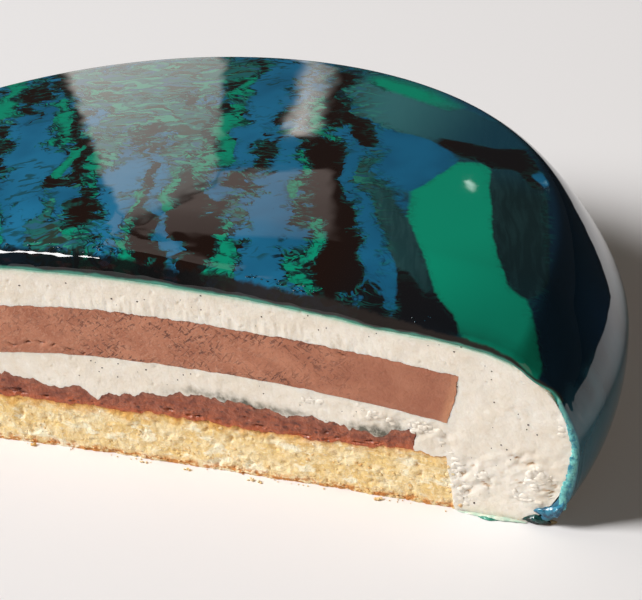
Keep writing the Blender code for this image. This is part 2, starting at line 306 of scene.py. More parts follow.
def cremeux_sag(x, y, fall, power):
    off_crown = np.hypot(x - CREMEUX_CROWN_X, y) / CREMEUX_RADII[0]
    off_dip = (x - CREMEUX_DIP_X) / CREMEUX_DIP_WIDTH
    return fall * off_crown ** power + CREMEUX_DIP * np.exp(-off_dip * off_dip)


def cremeux_low_z(x, y):
    return CREMEUX_LOW_Z - cremeux_sag(x, y, CREMEUX_LOW_FALL, CREMEUX_LOW_POWER)


def cremeux_top_z(x, y):
    return CREMEUX_TOP_Z - cremeux_sag(x, y, CREMEUX_TOP_FALL, CREMEUX_TOP_POWER)


# ---------------------------------------------------------------- lattices and meshes

def lattice(columns, rows, steps, sides, finer=1):
    """Faces of the named sides of a box lattice, and each point's (column, row, step).

    The front may be finer than the rest: the faces that meet it then have more corners. Columns and
    steps come back as fractions of the coarse ones there.
    """
    high = steps * finer
    wide = columns * finer

    def code(i, j, k):
        return (i * (rows + 1) + j) * (high + 1) + k

    def edge(start, row):
        return range(start, start + finer + 1, 1 if row == 0 else finer)

    faces = []
    if "front" in sides:
        i, k = np.meshgrid(np.arange(wide), np.arange(high), indexing="ij")
        corners = [code(i, 0, k), code(i + 1, 0, k), code(i + 1, 0, k + 1), code(i, 0, k + 1)]
        faces += np.stack(corners, axis=-1).reshape(-1, 4).tolist()
    for i in range(0, wide, finer):
        for j in range(rows):
            for side, k in (("top", high), ("bottom", 0)):
                if side in sides:
                    face = [code(a, j, k) for a in edge(i, j)]
                    face += [code(i + finer, j + 1, k), code(i, j + 1, k)]
                    faces.append(face if side == "top" else face[::-1])
        if "back" in sides:
            for k in range(0, high, finer):
                a, b = i + finer, k + finer
                faces.append([code(i, rows, b), code(a, rows, b), code(a, rows, k), code(i, rows, k)])
    for j in range(rows):
        for k in range(0, high, finer):
            for side, i in (("left", 0), ("right", wide)):
                if side in sides:
                    face = [code(i, j, b) for b in edge(k, j)]
                    face += [code(i, j + 1, k + finer), code(i, j + 1, k)]
                    faces.append(face if side == "left" else face[::-1])
    codes, numbers = np.unique(np.concatenate([np.array(f) for f in faces]), return_inverse=True)
    cuts = np.cumsum([len(f) for f in faces])[:-1]
    faces = [part.tolist() for part in np.split(numbers, cuts)]
    k = codes % (high + 1)
    i, j = np.divmod(codes // (high + 1), rows + 1)
    return faces, i / finer, j, k / finer


def point_normals(points, quads):
    """The outward normal at each point of a sheet of quads."""
    corners = points[quads]
    face = np.cross(corners[:, 2] - corners[:, 0], corners[:, 3] - corners[:, 1])
    face /= np.linalg.norm(face, axis=1, keepdims=True)
    normals = np.zeros_like(points)
    for corner in range(4):
        np.add.at(normals, quads[:, corner], face)
    return normals / np.linalg.norm(normals, axis=1, keepdims=True)


def add_object(name, data):
    obj = bpy.data.objects.new(name, data)
    bpy.context.scene.collection.objects.link(obj)
    return obj


def add_mesh(name, points, faces, material):
    """A smooth-shaded object from points about the cake's axis, in millimetres."""
    mesh = bpy.data.meshes.new(name)
    mesh.from_pydata(((np.asarray(points) + SHIFT) * MM).tolist(), [], faces)
    mesh.update()
    mesh.shade_smooth()
    mesh.set_sharp_from_angle(angle=SHARP_ANGLE)
    obj = add_object(name, mesh)
    if material:
        mesh.materials.append(material)
        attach(obj, BODY)
    return obj


def set_attribute(obj, name, values):
    """One number at each point of a mesh, for its material to read."""
    attribute = obj.data.attributes.new(name, "FLOAT", "POINT")
    attribute.data.foreach_set("value", np.asarray(values, np.float32))


# ---------------------------------------------------------------- shader nodes

class Shader:
    """A material under construction.

    An input may be a number, a socket of another node, or a colour as three numbers from 0 to 255. Sizes,
    shifts and the limits of span_mm are in millimetres, and turns in degrees.
    """

    def __init__(self, name):
        self.material = bpy.data.materials.new(name)
        self.material.use_nodes = True
        self.tree = self.material.node_tree
        self.surface = self.tree.nodes["Principled BSDF"]
        self.place = self.add("ShaderNodeTexCoord").outputs["Object"]

    @cached_property
    def at(self):
        """The x, y and z of the place."""
        return self.split(self.place)

    def add(self, kind, **settings):
        node = self.tree.nodes.new(kind)
        for name, value in settings.items():
            setattr(node, name, value)
        return node

    def plug(self, socket, value):
        if isinstance(value, bpy.types.NodeSocket):
            self.tree.links.new(value, socket)
        elif isinstance(value, tuple) and len(value) == 3:
            socket.default_value = linear(value)
        elif value is not None:
            socket.default_value = value

    def split(self, vector):
        """The three numbers of a vector or a colour."""
        parts = self.add("ShaderNodeSeparateXYZ")
        self.plug(parts.inputs[0], vector)
        return parts.outputs

    def math(self, operation, a, b=None, clamp=False):
        node = self.add("ShaderNodeMath", operation=operation, use_clamp=clamp)
        self.plug(node.inputs[0], a)
        self.plug(node.inputs[1], b)
        return node.outputs[0]

    def plus(self, a, b):
        return self.math("ADD", a, b)

    def minus(self, a, b):
        return self.math("SUBTRACT", a, b)

    def times(self, first, *others):
        for other in others:
            first = self.math("MULTIPLY", first, other)
        return first

    def centred(self, value, reach):
        """A value from 0 to 1, made to run from minus half of reach to half of it."""
        return self.times(self.minus(value, 0.5), reach)

    def length(self, vector):
        node = self.add("ShaderNodeVectorMath", operation="LENGTH")
        self.plug(node.inputs[0], vector)
        return node.outputs["Value"]

    def attribute(self, name):
        return self.add("ShaderNodeAttribute", attribute_name=name).outputs["Fac"]

    def stretched(self, size, turn=(0.0, 0.0, 0.0), shift=(0.0, 0.0, 0.0), vector=None):
        """Coordinates in units of size, which is one number or one for each turned axis."""
        node = self.add("ShaderNodeMapping", vector_type="TEXTURE")
        self.plug(node.inputs["Vector"], vector or self.place)
        node.inputs["Location"].default_value = [MM * s for s in shift]
        node.inputs["Rotation"].default_value = [math.radians(angle) for angle in turn]
        node.inputs["Scale"].default_value = [MM * s for s in np.broadcast_to(size, 3)]
        return node.outputs[0]

    def noise(self, size, detail=2.0, roughness=0.5, distortion=0.0, output="Fac", **place):
        """Noise with features of this size."""
        node = self.add("ShaderNodeTexNoise")
        self.plug(node.inputs["Vector"], self.stretched(size, **place))
        node.inputs["Scale"].default_value = 1.0
        node.inputs["Detail"].default_value = detail
        node.inputs["Roughness"].default_value = roughness
        node.inputs["Distortion"].default_value = distortion
        return node.outputs[output]

    def cells(self, size, output="Distance"):
        node = self.add("ShaderNodeTexVoronoi")
        self.plug(node.inputs["Vector"], self.stretched(size))
        node.inputs["Scale"].default_value = 1.0
        return node.outputs[output]

    def span(self, value, low, high, to_low=0.0, to_high=1.0):
        """Value from low to high becomes to_low to to_high, smoothly, and is held outside."""
        node = self.add("ShaderNodeMapRange", interpolation_type="SMOOTHSTEP")
        for socket, given in zip(node.inputs, (value, low, high, to_low, to_high)):
            self.plug(socket, given)
        return node.outputs[0]

    def span_mm(self, value, low, high, to_low=0.0, to_high=1.0):
        return self.span(value, low * MM, high * MM, to_low, to_high)

    def blend(self, share, a, b):
        """Colour a with this share of b."""
        node = self.add("ShaderNodeMix", data_type="RGBA", clamp_factor=True)
        self.plug(node.inputs[0], share)
        self.plug(node.inputs[6], a)
        self.plug(node.inputs[7], b)
        return node.outputs[2]

    def bump(self, height, distance):
        """Height from 0 to 1 stands for this distance in millimetres."""
        node = self.add("ShaderNodeBump")
        self.plug(node.inputs["Height"], height)
        node.inputs["Distance"].default_value = distance * MM
        return node.outputs[0]

    def finish(self, colour, roughness, normal=None, **constants):
        self.plug(self.surface.inputs["Base Color"], colour)
        self.plug(self.surface.inputs["Roughness"], roughness)
        self.plug(self.surface.inputs["Normal"], normal)
        for name, value in constants.items():
            self.surface.inputs[name.replace("_", " ")].default_value = value
        return self.material


# ---------------------------------------------------------------- marbling of the glaze

# Strokes of each colour in plan, as (x, y, half width) along the stroke
BROWN_STROKES = (
    ((-46, 58, 1.6), (-43, 50, 2.1), (-41, 43, 2.0), (-38, 36, 1.2)),
    ((-44, 67, 1.2), (-41, 60, 1.6), (-38, 54, 0.8)),
    ((-32, 46, 0.9), (-29, 40, 1.9), (-25, 35, 1.5), (-21, 29, 0.9), (-17, 22, 1.1), (-13, 18, 1.5)),
    ((-23, 15, 1.6), (-20, 14, 2.5), (-17, 13, 1.2)),
    ((-25, 12, 0.9), (-23, 7, 1.1), (-22, 2, 0.9)),
    ((-12, 11, 0.9), (-9, 7, 1.8), (-8, 1, 1.5), (-11, 1, 0.9)),
    ((-20, 59, 1.6), (-19, 54, 2.0), (-20, 51, 0.6)),
    ((-13, 61, 1.1), (-12, 56, 1.7)),
    ((-34, 61, 0.8), (-31, 66, 1.4), (-27, 70, 0.7)),
    ((-26, 50, 1.0), (-24, 46, 1.4)),
    ((-15, 43, 1.6), (-13, 39, 2.2), (-12, 35, 0.8)),
    ((-4, 53, 0.7), (-2, 47, 1.5), (1, 41, 1.2), (3, 36, 1.5), (5, 31, 1.0)),
    ((-6, 33, 0.7), (-4, 26, 1.2), (-2, 19, 1.3), (1, 11, 1.6), (5, 4, 2.7), (8, -2, 3.2), (10, -8, 2.6)),
    ((5, 24, 1.4), (8, 20, 3.4), (11, 13, 4.4), (14, 7, 5.0), (16, 1, 4.4), (18, -7, 3.2)),
    ((9, 48, 0.7), (11, 42, 1.5), (14, 35, 2.1), (16, 28, 1.9), (17, 24, 3.2), (20, 21, 3.0)),
    ((-6, 77, 1.2), (-4, 72, 1.1), (-7, 66, 1.7), (-6, 62, 0.9)),
    ((8, 53, 0.6), (12, 51, 1.4), (14, 52, 0.5)),
    ((14, 74, 1.5), (16, 66, 2.0), (19, 57, 1.7), (24, 50, 1.4)),
    ((19, 43, 2.0), (25, 38, 3.2), (29, 31, 3.5), (34, 24, 4.4), (38, 15, 4.8), (42, 6, 5.2), (46, -3, 6.0)),
    ((24, 54, 1.2), (28, 50, 2.0), (31, 46, 1.8), (30, 42, 0.7)),
    ((43, 52, 1.0), (50, 50, 3.2), (57, 49, 3.8), (63, 44, 2.6), (67, 39, 1.2)),
    ((57, 3, 1.6), (60, -2, 3.8), (64, -6, 5.0)),
    ((51, 6, 0.6), (53, 0, 1.0), (55, -6, 1.8)),
    ((30, 16, 0.5), (32, 10, 0.6), (35, 2, 0.5)),
)
BLUE_STROKES = (
    ((-41, 40, 3.0), (-34, 30, 5.0), (-29, 20, 5.2), (-25, 10, 4.6), (-20, 0, 3.2), (-18, -7, 2.2)),
    ((-43, 57, 1.0), (-40, 49, 1.3), (-37, 42, 1.2)),
    ((-27, 46, 1.0), (-24, 41, 1.4), (-20, 35, 1.0)),
    ((-12, 33, 1.6), (-9, 24, 3.0), (-6, 14, 3.2), (-1, 5, 2.6), (3, -3, 2.2)),
    ((-18, 12, 1.2), (-15, 8, 2.6), (-13, 3, 1.2)),
    ((-5, 31, 1.2), (-1, 22, 1.6), (2, 14, 1.4), (5, 8, 1.3), (9, 5, 1.5), (12, -1, 1.8), (15, -8, 1.8)),
    ((12, 12, 1.0), (16, 10, 1.8), (19, 15, 1.4)),
    ((1, 78, 4.0), (3, 66, 5.0), (5, 56, 4.4), (8, 47, 3.0), (10, 40, 2.8), (12, 31, 2.4), (13, 24, 1.6),
     (14, 17, 1.4)),
    ((17, 40, 1.8), (20, 31, 2.4), (24, 22, 3.0), (26, 13, 3.4), (30, 4, 4.6), (32, -5, 5.0)),
    ((20, 14, 1.6), (24, 6, 2.6)),
    ((26, 50, 1.0), (30, 40, 2.0), (35, 31, 2.1), (40, 22, 2.3), (46, 12, 3.2), (50, 5, 2.6), (56, -4, 1.6)),
    ((34, 50, 1.0), (39, 46, 4.6), (43, 40, 6.8), (46, 33, 3.2)),
    ((47, 10, 2.0), (50, 2, 3.0), (49, -5, 2.4)),
    ((66, 43, 1.4), (69, 41, 0.9)),
)
GREEN_STROKES = (
    ((-52, 58, 1.5), (-49, 49, 1.4), (-46, 43, 1.0)),
    ((-38, 50, 1.0), (-35, 46, 1.4), (-31, 39, 1.6), (-26, 33, 1.0)),
    ((-23, 31, 0.7), (-22, 23, 1.3), (-21, 17, 0.9)),
    ((-26, 6, 0.8), (-25, 0, 1.1), (-23, -4, 0.7)),
    ((-28, 54, 0.7), (-23, 51, 1.0), (-23, 46, 0.7)),
    ((-34, 57, 0.6), (-26, 53, 0.8), (-18, 51, 0.8), (-8, 50, 0.6)),
    ((-18, 30, 0.8), (-14, 24, 1.4), (-11, 15, 1.2), (-9, 10, 0.6)),
    ((-9, 70, 0.9), (-4, 68, 1.6), (-2, 64, 1.7), (-4, 61, 1.1)),
    ((-2, 54, 0.7), (1, 47, 1.3), (4, 41, 1.5), (6, 35, 1.1), (9, 29, 0.9)),
    ((2, 36, 0.6), (4, 32, 1.3), (6, 27, 2.2), (8, 24, 1.4)),
    ((3, 24, 0.8), (4, 19, 0.9), (6, 12, 1.7), (8, 9, 1.7)),
    ((10, 20, 0.8), (12, 16, 1.0)),
    ((-1, 15, 0.9), (1, 8, 1.2), (3, 2, 1.6), (6, -7, 1.4)),
    ((-9, 0, 0.9), (-6, -4, 1.6), (-2, -8, 1.3)),
    ((18, 9, 0.9), (20, 3, 1.8), (23, -4, 2.6)),
    ((13, 60, 0.8), (17, 56, 1.0), (21, 50, 1.4), (24, 45, 1.0)),
    ((20, 37, 0.6), (23, 32, 0.9), (26, 27, 0.8), (28, 18, 0.6)),
    ((35, 10, 1.6), (37, 4, 2.0), (40, -2, 2.2), (43, -6, 1.8)),
    ((54, 39, 3.4), (54, 31, 6.0), (58, 22, 6.8), (63, 12, 7.0), (69, 3, 6.6), (76, -4, 5.4), (83, -8, 3.4)),
    ((22, 73, 2.5), (31, 69, 3.0), (40, 64, 2.0)),
)
TEAL_STROKES = (
    ((-38, 62, 3.0), (-28, 62, 8.0), (-16, 66, 9.5), (-8, 72, 3.0)),
    ((-30, 52, 3.0), (-18, 48, 8.0), (-8, 46, 7.0), (-2, 40, 4.0)),
    ((-22, 38, 2.0), (-14, 30, 2.0), (-12, 22, 1.6)),
    ((0, 34, 2.0), (2, 26, 2.2)),
    ((-16, 5, 2.2), (-12, -1, 3.8), (-5, -6, 3.0)),
    ((15, 15, 1.6), (19, 12, 3.2), (23, 9, 2.0)),
    ((20, 70, 3.0), (30, 62, 7.5), (42, 58, 7.5), (54, 54, 5.0)),
    ((37, 44, 0.8), (36, 33, 1.6), (42, 24, 2.2), (48, 16, 2.8), (55, 8, 2.8), (61, 0, 2.0)),
    ((62, 42, 3.0), (67, 32, 4.2), (71, 20, 4.8), (77, 8, 4.4)),
)
NAVY_STROKES = (
    ((70, 52, 6.0), (78, 38, 6.5), (84, 24, 7.0), (88, 8, 7.0), (88, -8, 5.0)),
)
STROKES = {
    "brown": BROWN_STROKES,
    "blue": BLUE_STROKES,
    "green": GREEN_STROKES,
    "teal": TEAL_STROKES,
    "navy": NAVY_STROKES,
}
OUTSIDE = -9.0                  # the strength of a colour far from its strokes

# Bands like the drawn ones for the left end, which those don't reach. They run at this angle in plan,
# from the cut to the back.
FLOW_ANGLE = math.radians(116.0)
END_BANDS = 26
END_COLOURS = ("brown", "blue", "green", "blue", "teal")
END_X = -26.0
END_STEP = -2.6
END_Y = (-16.0, 8.0)
END_LENGTH = (14.0, 40.0)
END_HALF = (0.9, 2.2)
END_BLUE_WIDER = 2.0
END_TIP = 0.6
END_BEND = 1.6
END_POINTS = 4
END_SEED = 5

# The colours run down the side, measured round the cake on a ring of this radius
RUN_RADIUS = 30.0
RUN_STRETCH = 0.16
RUN_SWING = 0.0012
RUN_SEEDS = {"brown": 25, "teal": 26, "green": 27}
RUN_SIZE = (6.0, 3.0, 1.0)
RUN_STRENGTH = 5.0
RUN_LEVEL = -1.4
RUN_Z = (40.0, 32.0)            # from here down they take over from the strokes drawn in plan
LEFT_X = (62.0, 48.0)           # right of this there are no runs
ACROSS_LEAN = 0.42              # x + this share of y tells the calm right part from the restless rest
RESTLESS = (60.0, 42.0)
# There the strokes are warped by up to this much in x and y, by noise of this size
WARP = (3.4, 4.4)
WARP_SIZE = 6.0
# Least strength of each colour at the right and at the left, and how much that changes down the side
GROUND = {
    "teal": (-1.5, -1.5, -1.5),
    "blue": (OUTSIDE, -1.2, 0.9),
    "brown": (OUTSIDE, -1.7, -2.0),
    "navy": (-1.2, OUTSIDE, 0.0),
}


def stroke_strength(x, y, strokes):
    """How far inside the nearest stroke a point is, in millimetres: negative outside."""
    best = np.full(len(x), OUTSIDE)
    for stroke in strokes:
        for (ax, ay, aw), (bx, by, bw) in zip(stroke, stroke[1:]):
            along = ((x - ax) * (bx - ax) + (y - ay) * (by - ay)) / ((bx - ax) ** 2 + (by - ay) ** 2)
            along = np.clip(along, 0.0, 1.0)
            distance = np.hypot(x - mix(ax, bx, along), y - mix(ay, by, along))
            best = np.maximum(best, mix(aw, bw, along) - distance)
    return best


def end_strokes(seed):
    """The bands of each colour for the left end."""
    random = np.random.default_rng(seed)
    bands = {colour: () for colour in STROKES}
    for n in range(END_BANDS):
        colour = END_COLOURS[n % len(END_COLOURS)]
        start_y = random.uniform(*END_Y)
        length = random.uniform(*END_LENGTH)
        half = random.uniform(*END_HALF) * (END_BLUE_WIDER if colour == "blue" else 1.0)
        band = []
        for step, bend in enumerate(random.normal(0.0, END_BEND, END_POINTS)):
            along = length * step / (END_POINTS - 1)
            x = END_X + END_STEP * n + math.cos(FLOW_ANGLE) * along + bend
            y = start_y + math.sin(FLOW_ANGLE) * along
            band.append((x, y, half * (END_TIP if step in (0, END_POINTS - 1) else 1.0)))
        bands[colour] += (tuple(band),)
    return bands


def marble_fields(points):
    """Strength of each colour at points of the glaze, with strokes drawn in plan and run down the side."""
    x, y, z = points.T
    drip = np.clip(CAP_Z - z, 0.0, None)
    radius = np.hypot(x, y)
    angle = np.arctan2(y, x)
    ring = on_sheet(RUN_RADIUS * angle, RUN_STRETCH * drip)
    angle = angle + RUN_SWING * drip * noise(ring, 3.0, 21)
    x = radius * np.cos(angle)
    y = radius * np.sin(angle)
    left = smooth(x, *LEFT_X)
    down = left * smooth(z, *RUN_Z)
    plan = on_sheet(x, y)
    restless = smooth(x + ACROSS_LEAN * y, *RESTLESS)
    x = x + WARP[0] * restless * noise(plan, WARP_SIZE, 22, octaves=2)
    y = y + WARP[1] * restless * noise(plan, WARP_SIZE, 23, octaves=2)
    extra = end_strokes(END_SEED)
    fields = {name: stroke_strength(x, y, drawn + extra[name]) for name, drawn in STROKES.items()}
    for name, seed in RUN_SEEDS.items():
        runs = RUN_LEVEL + RUN_STRENGTH * noise(ring, RUN_SIZE, seed, octaves=2)
        fields[name] = np.maximum(fields[name], mix(OUTSIDE, runs, down))
    for name, (at_right, at_left, change) in GROUND.items():
        fields[name] = np.maximum(fields[name], mix(at_right, at_left, left) + change * down)
    return fields


# ---------------------------------------------------------------- glaze

SIDE_STEPS = LOWER_STEPS + SHOULDER_STEPS
ON_SIDE = 99.0                  # stands for a place that is no way from the cut over the top or an end

# The dark band along the lip is painted shade: a dark reflection painted onto the roll of the lip.
# Where the dark band of the lip ends, as x and millimetres over the glaze from its lower edge
LIP_SHADE_BAND_AT = (-92.0, -60.0, -10.0, 33.0, 49.0, 66.0, 80.0, 88.0)
LIP_SHADE_BAND = (1.0, 2.4, 4.0, 3.1, 3.0, 1.4, 1.0, 0.8)
LIP_LOWEST_Z = 27.0             # below this the glaze has no lip, nor the band or line along it
LIP_FADE_Z = 2.0
LIP_FADE = 9.0
# The glaze swells by this much near the lip, less and less with this distance from the cut
LIP_UNEVEN = 0.22
LIP_UNEVEN_SIZE = (3.2, 1.6, 1.6)
LIP_UNEVEN_REACH = 4.0
# The cut edge of the glaze stands out of the cut by this much, and strays by this much more or less
CROWN = 0.18
CROWN_STRAY = 0.12
CROWN_SIZE = 1.4
CROWN_UNDER = 0.05              # and this much below the glaze's foot


def skin_points(column, columns, row, rows, step, lower_steps, shoulder_steps, roll_rows):
    """Points on the outside of the glaze, how thick it is there, and their depth behind the cut."""
    side = side_profile(lower_steps, shoulder_steps)
    at = np.arange(len(side))
    radius = np.interp(step, at, side[:, 0])
    z = np.interp(step, at, side[:, 1])
    x, y, depth = plan_points(2.0 * column / columns - 1.0, row, rows, radius, roll_rows)
    z = np.where(step >= lower_steps + shoulder_steps, dome_z(np.hypot(x, y)), z)
    z = z - press(x, z, depth)
    pressed = smooth(z, PRESS_FROM_Z, PRESS_FULL_Z - DROP_END)
    thinned = mix(GLAZE_LIP / GLAZE, 1.0, smooth(y - cut_y(x), 0.0, GLAZE_LIP_DEPTH))
    thick = mix(GLAZE_FOOT, GLAZE, smooth(z, 0.0, GLAZE_GATHER_Z)) * mix(1.0, thinned, pressed)
    thick = mix(GLAZE_TIP, thick, smooth(step / lower_steps, 0.0, GLAZE_TIP_SHARE))
    return np.stack([x, y, z], axis=1), thick, depth


def run_along(grid):
    """Lengths along the rows of points in a grid, from its first row."""
    steps = np.linalg.norm(np.diff(grid, axis=0), axis=2)
    return np.concatenate([np.zeros((1, grid.shape[1])), np.cumsum(steps, axis=0)])


def arc_from_cut(points, i, k):
    """How far each point lies from the cut, over the top and over the two ends of the side."""
    arc = np.full(len(points), ON_SIDE)
    for end in (i == 0, i == SKIN_COLUMNS):
        arc[end] = run_along(points[end].reshape(SKIN_ROWS + 1, -1, 3)).ravel()
    top = k == SIDE_STEPS
    grid = points[top].reshape(SKIN_COLUMNS + 1, SKIN_ROWS + 1, 3)
    arc[top] = run_along(grid.transpose(1, 0, 2)).T.ravel()
    return arc


def make_glaze(material):
    """The glaze as a closed thin shell, its section open to view along the cut."""
    faces, i, j, k = lattice(SKIN_COLUMNS, SKIN_ROWS, SIDE_STEPS, ("top", "back", "left", "right"))
    quads = np.array(faces)
    outer, thick, _ = skin_points(
        i, SKIN_COLUMNS, j, SKIN_ROWS, k, LOWER_STEPS, SHOULDER_STEPS, SKIN_ROLL_ROWS)
    normals = point_normals(outer, quads)
    inner = outer - normals * thick[:, None]
    arc = arc_from_cut(outer, i, k)
    uneven = LIP_UNEVEN * noise(outer, LIP_UNEVEN_SIZE, 33) * np.exp(-arc / LIP_UNEVEN_REACH)
    outer = outer + normals * uneven[:, None]

    edges = set(map(tuple, np.concatenate([quads[:, [n - 1, n]] for n in range(4)]).tolist()))
    open_edges = sorted((a, b) for a, b in edges if (b, a) not in edges)
    ring = sorted({n for edge in open_edges for n in edge})
    middle = {n: 2 * len(outer) + order for order, n in enumerate(ring)}
    centre = 0.5 * (outer[ring] + inner[ring])
    ahead = CROWN + CROWN_STRAY * noise(outer[ring], CROWN_SIZE, 31)
    crown = np.where(
        (j[ring] > 0)[:, None],
        centre - np.array([0.0, 0.0, CROWN_UNDER]),
        centre - ahead[:, None] * np.array([0.0, 1.0, 0.0]))
    base = len(outer)
    faces = faces + [[n + base for n in face[::-1]] for face in faces]
    for a, b in open_edges:
        faces.append([b, a, middle[a], middle[b]])
        faces.append([middle[b], middle[a], a + base, b + base])
    points = np.concatenate([outer, inner, crown])
    shell = add_mesh("glaze_shell", points, faces, material)
    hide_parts("mirror_glaze")

    off_lip = LIP_FADE * smooth(outer[:, 2], LIP_LOWEST_Z, LIP_LOWEST_Z - LIP_FADE_Z)
    # band: how far a point lies into the painted shade band of the lip
    band = arc / np.interp(outer[:, 0], LIP_SHADE_BAND_AT, LIP_SHADE_BAND)
    fields = {**marble_fields(outer), "edge": arc + off_lip, "band": band + off_lip}
    for name, values in fields.items():
        set_attribute(shell, name, np.concatenate([values, values, values[ring]]))
    set_attribute(shell, "rim", np.concatenate([np.zeros(base), np.ones(base + len(ring))]))


# Turn in plan, seed and colour of the thin lines that follow the edges of the colours
HAIRLINES = (
    (20.0, 7.0, (14, 24, 26)),
    (8.0, 33.0, (24, 104, 96)),
    (142.0, 61.0, (20, 36, 38)),
)


def wander(s, place, size, reach, shift=(0.0, 0.0, 0.0)):
    """A place moved about by noise of this size, by up to half of reach."""
    centred = s.add("ShaderNodeVectorMath", operation="SUBTRACT")
    s.plug(centred.inputs[0], s.noise(size, detail=1.5, output="Color", shift=shift, vector=place))
    centred.inputs[1].default_value = (0.5, 0.5, 0.5)
    moved = s.add("ShaderNodeVectorMath", operation="MULTIPLY_ADD")
    s.plug(moved.inputs[0], centred.outputs[0])
    moved.inputs[1].default_value = (reach * MM,) * 3
    s.plug(moved.inputs[2], place)
    return moved.outputs[0]


def mottle(s, vector, size, turn, seed, detail, distortion=0.0):
    """Three unlike noises at once, drawn out along one direction in plan."""
    return s.noise(size, detail, 0.55, distortion, "Color",
                   turn=(0.0, 0.0, turn), shift=(seed, 2.0 * seed, 0.0), vector=vector)


def blue_tint(s, across, warped):
    """Brighter on the left, with dark green wisps, and deeper on the right."""
    base = s.blend(s.span_mm(across, 0.0, 40.0), (33, 110, 148), (27, 98, 134))
    deep = s.noise((12.0, 16.0, 14.0), shift=(5.0, 0.0, 0.0))
    base = s.blend(s.span(deep, 0.4, 0.75, 0.0, 0.5), base, (18, 66, 96))
    wisp = s.split(mottle(s, warped, (4.6, 1.5, 3.0), 34.0, 90.0, 2.0, 0.6))[1]
    zone = s.noise(9.0, detail=1.0, shift=(0.0, 0.0, 30.0))
    share = s.times(s.span(wisp, 0.52, 0.6, 0.0, 0.75), s.span(zone, 0.5, 0.6))
    return s.blend(s.times(share, s.span_mm(across, 24.0, 40.0, 1.0, 0.0)), base, (26, 66, 66))


def teal_tint(s, across, warped):
    """Wavy laminae of grey-green, brown and blue on the left, feathered dark teal on the right."""
    x, y, _ = s.at
    lamina = s.split(mottle(s, warped, (7.5, 3.0, 5.0), 12.0, 9.0, 2.0, 1.8))
    left = s.blend(s.span(lamina[0], 0.42, 0.5), (44, 58, 50), (34, 98, 96))
    left = s.blend(s.span(lamina[1], 0.53, 0.6), left, (46, 138, 116))
    left = s.blend(s.span(lamina[2], 0.57, 0.63), left, (44, 92, 116))
    feather = s.noise((1.1, 9.0, 7.0), detail=3.0, roughness=0.55,
                      turn=(0.0, 0.0, 24.0), vector=wander(s, s.place, 16.0, 5.0))
    dusky = s.span_mm(x, 52.0, 66.0)
    right = s.blend(dusky, (30, 60, 63), (20, 38, 40))
    plume = s.blend(dusky, (44, 76, 78), (30, 54, 56))
    right = s.blend(s.span(feather, 0.4, 0.68, 0.0, 0.6), right, plume)
    far = s.blend(s.span_mm(x, 26.0, 54.0), (62, 120, 124), (20, 60, 78))
    right = s.blend(s.times(s.span_mm(y, -8.0, 12.0), 0.8), right, far)
    return s.blend(s.span_mm(across, 26.0, 40.0), left, right)


def marbled(s, patches):
    """The colours, frayed into each other and with hairlines along their edges."""
    x, y, z = s.at
    across = s.plus(x, s.times(y, ACROSS_LEAN))
    unrest = s.span_mm(across, 24.0, 44.0, 1.0, 0.16)
    warped = wander(s, wander(s, s.place, 13.0, 5.0), 4.0, 3.0, (9.0, 0.0, 0.0))
    where = s.noise(10.0, detail=1.0, shift=(7.0, 20.0, 0.0))
    one_way = mottle(s, warped, (3.6, 1.15, 3.0), 16.0, 0.0, 1.2)
    other_way = mottle(s, warped, (4.4, 1.25, 3.0), 138.0, 50.0, 1.2)
    teeth = s.split(s.blend(s.span(where, 0.45, 0.55), one_way, other_way))
    clots = s.split(mottle(s, warped, (3.6, 2.6, 3.0), 30.0, 40.0, 1.0, 1.2))
    bite = s.times(s.span(patches, 0.4, 0.62, 0.8, 6.5), s.span_mm(z, 28.0, 38.0, 0.4, 1.0))
    softness = s.plus(s.span(unrest, 0.16, 1.0, 0.9, 0.2), s.span_mm(y, 12.0, 30.0, 0.0, 2.4))
    tints = (
        # attribute, channels of the two noises that fray its edge, and colour
        ("blue", 0, 1, blue_tint(s, across, warped)),
        ("teal", 1, 2, teal_tint(s, across, warped)),
        ("brown", 1, 0, s.blend(s.span_mm(x, 40.0, 54.0), (30, 18, 14), (23, 20, 21))),
        ("green", 2, 1, (12, 139, 109)),
        ("navy", 0, 2, (15, 36, 52)),
    )
    colour, strongest, second = None, None, OUTSIDE
    for name, tooth, clot, tint in tints:
        fray = s.plus(s.centred(teeth[tooth], bite), s.centred(clots[clot], 5.0))
        strength = s.plus(s.attribute(name), s.times(fray, unrest))
        if colour is None:
            colour, strongest = tint, strength
            continue
        second = s.math("MAXIMUM", second, s.math("MINIMUM", strength, strongest))
        lead = s.math("DIVIDE", s.minus(strength, strongest), softness)
        colour = s.blend(s.math("ADD", lead, 0.5, clamp=True), colour, tint)
        strongest = s.math("MAXIMUM", strongest, strength)
    near_edge = s.span(s.minus(strongest, second), 0.3, 2.4, 1.0, 0.0)
    near_edge = s.times(near_edge, unrest, s.span(patches, 0.36, 0.56, 0.3, 1.0))
    for turn, seed, tint in HAIRLINES:
        hair = s.split(mottle(s, warped, (4.4, 1.4, 3.0), turn, seed, 1.2, 0.8))[0]
        line = s.math("ABSOLUTE", s.minus(hair, 0.5))
        colour = s.blend(s.times(s.span(line, 0.022, 0.065, 0.95, 0.0), near_edge), colour, tint)
    return colour


def right_end(s, colour, patches):
    """Painted shade at the right end, a painted reflection of pale teal low on its side, and an inky blue
    spot on its shoulder.
    """
    x, y, z = s.at
    outward = s.minus(x, y)
    # Painted shade: darker towards the right end
    colour = s.blend(s.span_mm(outward, 84.0, 124.0, 0.0, 0.45), colour, (6, 20, 28))
    # Painted reflection: pale teal low on the right side, for the lit table that the glaze reflects there
    low = s.plus(z, s.centred(patches, 20.0 * MM))
    painted_reflection = s.times(s.span_mm(low, 17.0, 29.0, 0.7, 0.0), s.span_mm(outward, 40.0, 80.0))
    colour = s.blend(painted_reflection, colour, (48, 96, 110))
    off_spot = s.length(s.stretched((11.0, 15.0, 15.0), shift=(80.0, -27.0, 20.0)))
    return s.blend(s.span(off_spot, 0.4, 1.2, 0.7, 0.0), colour, (16, 50, 82))


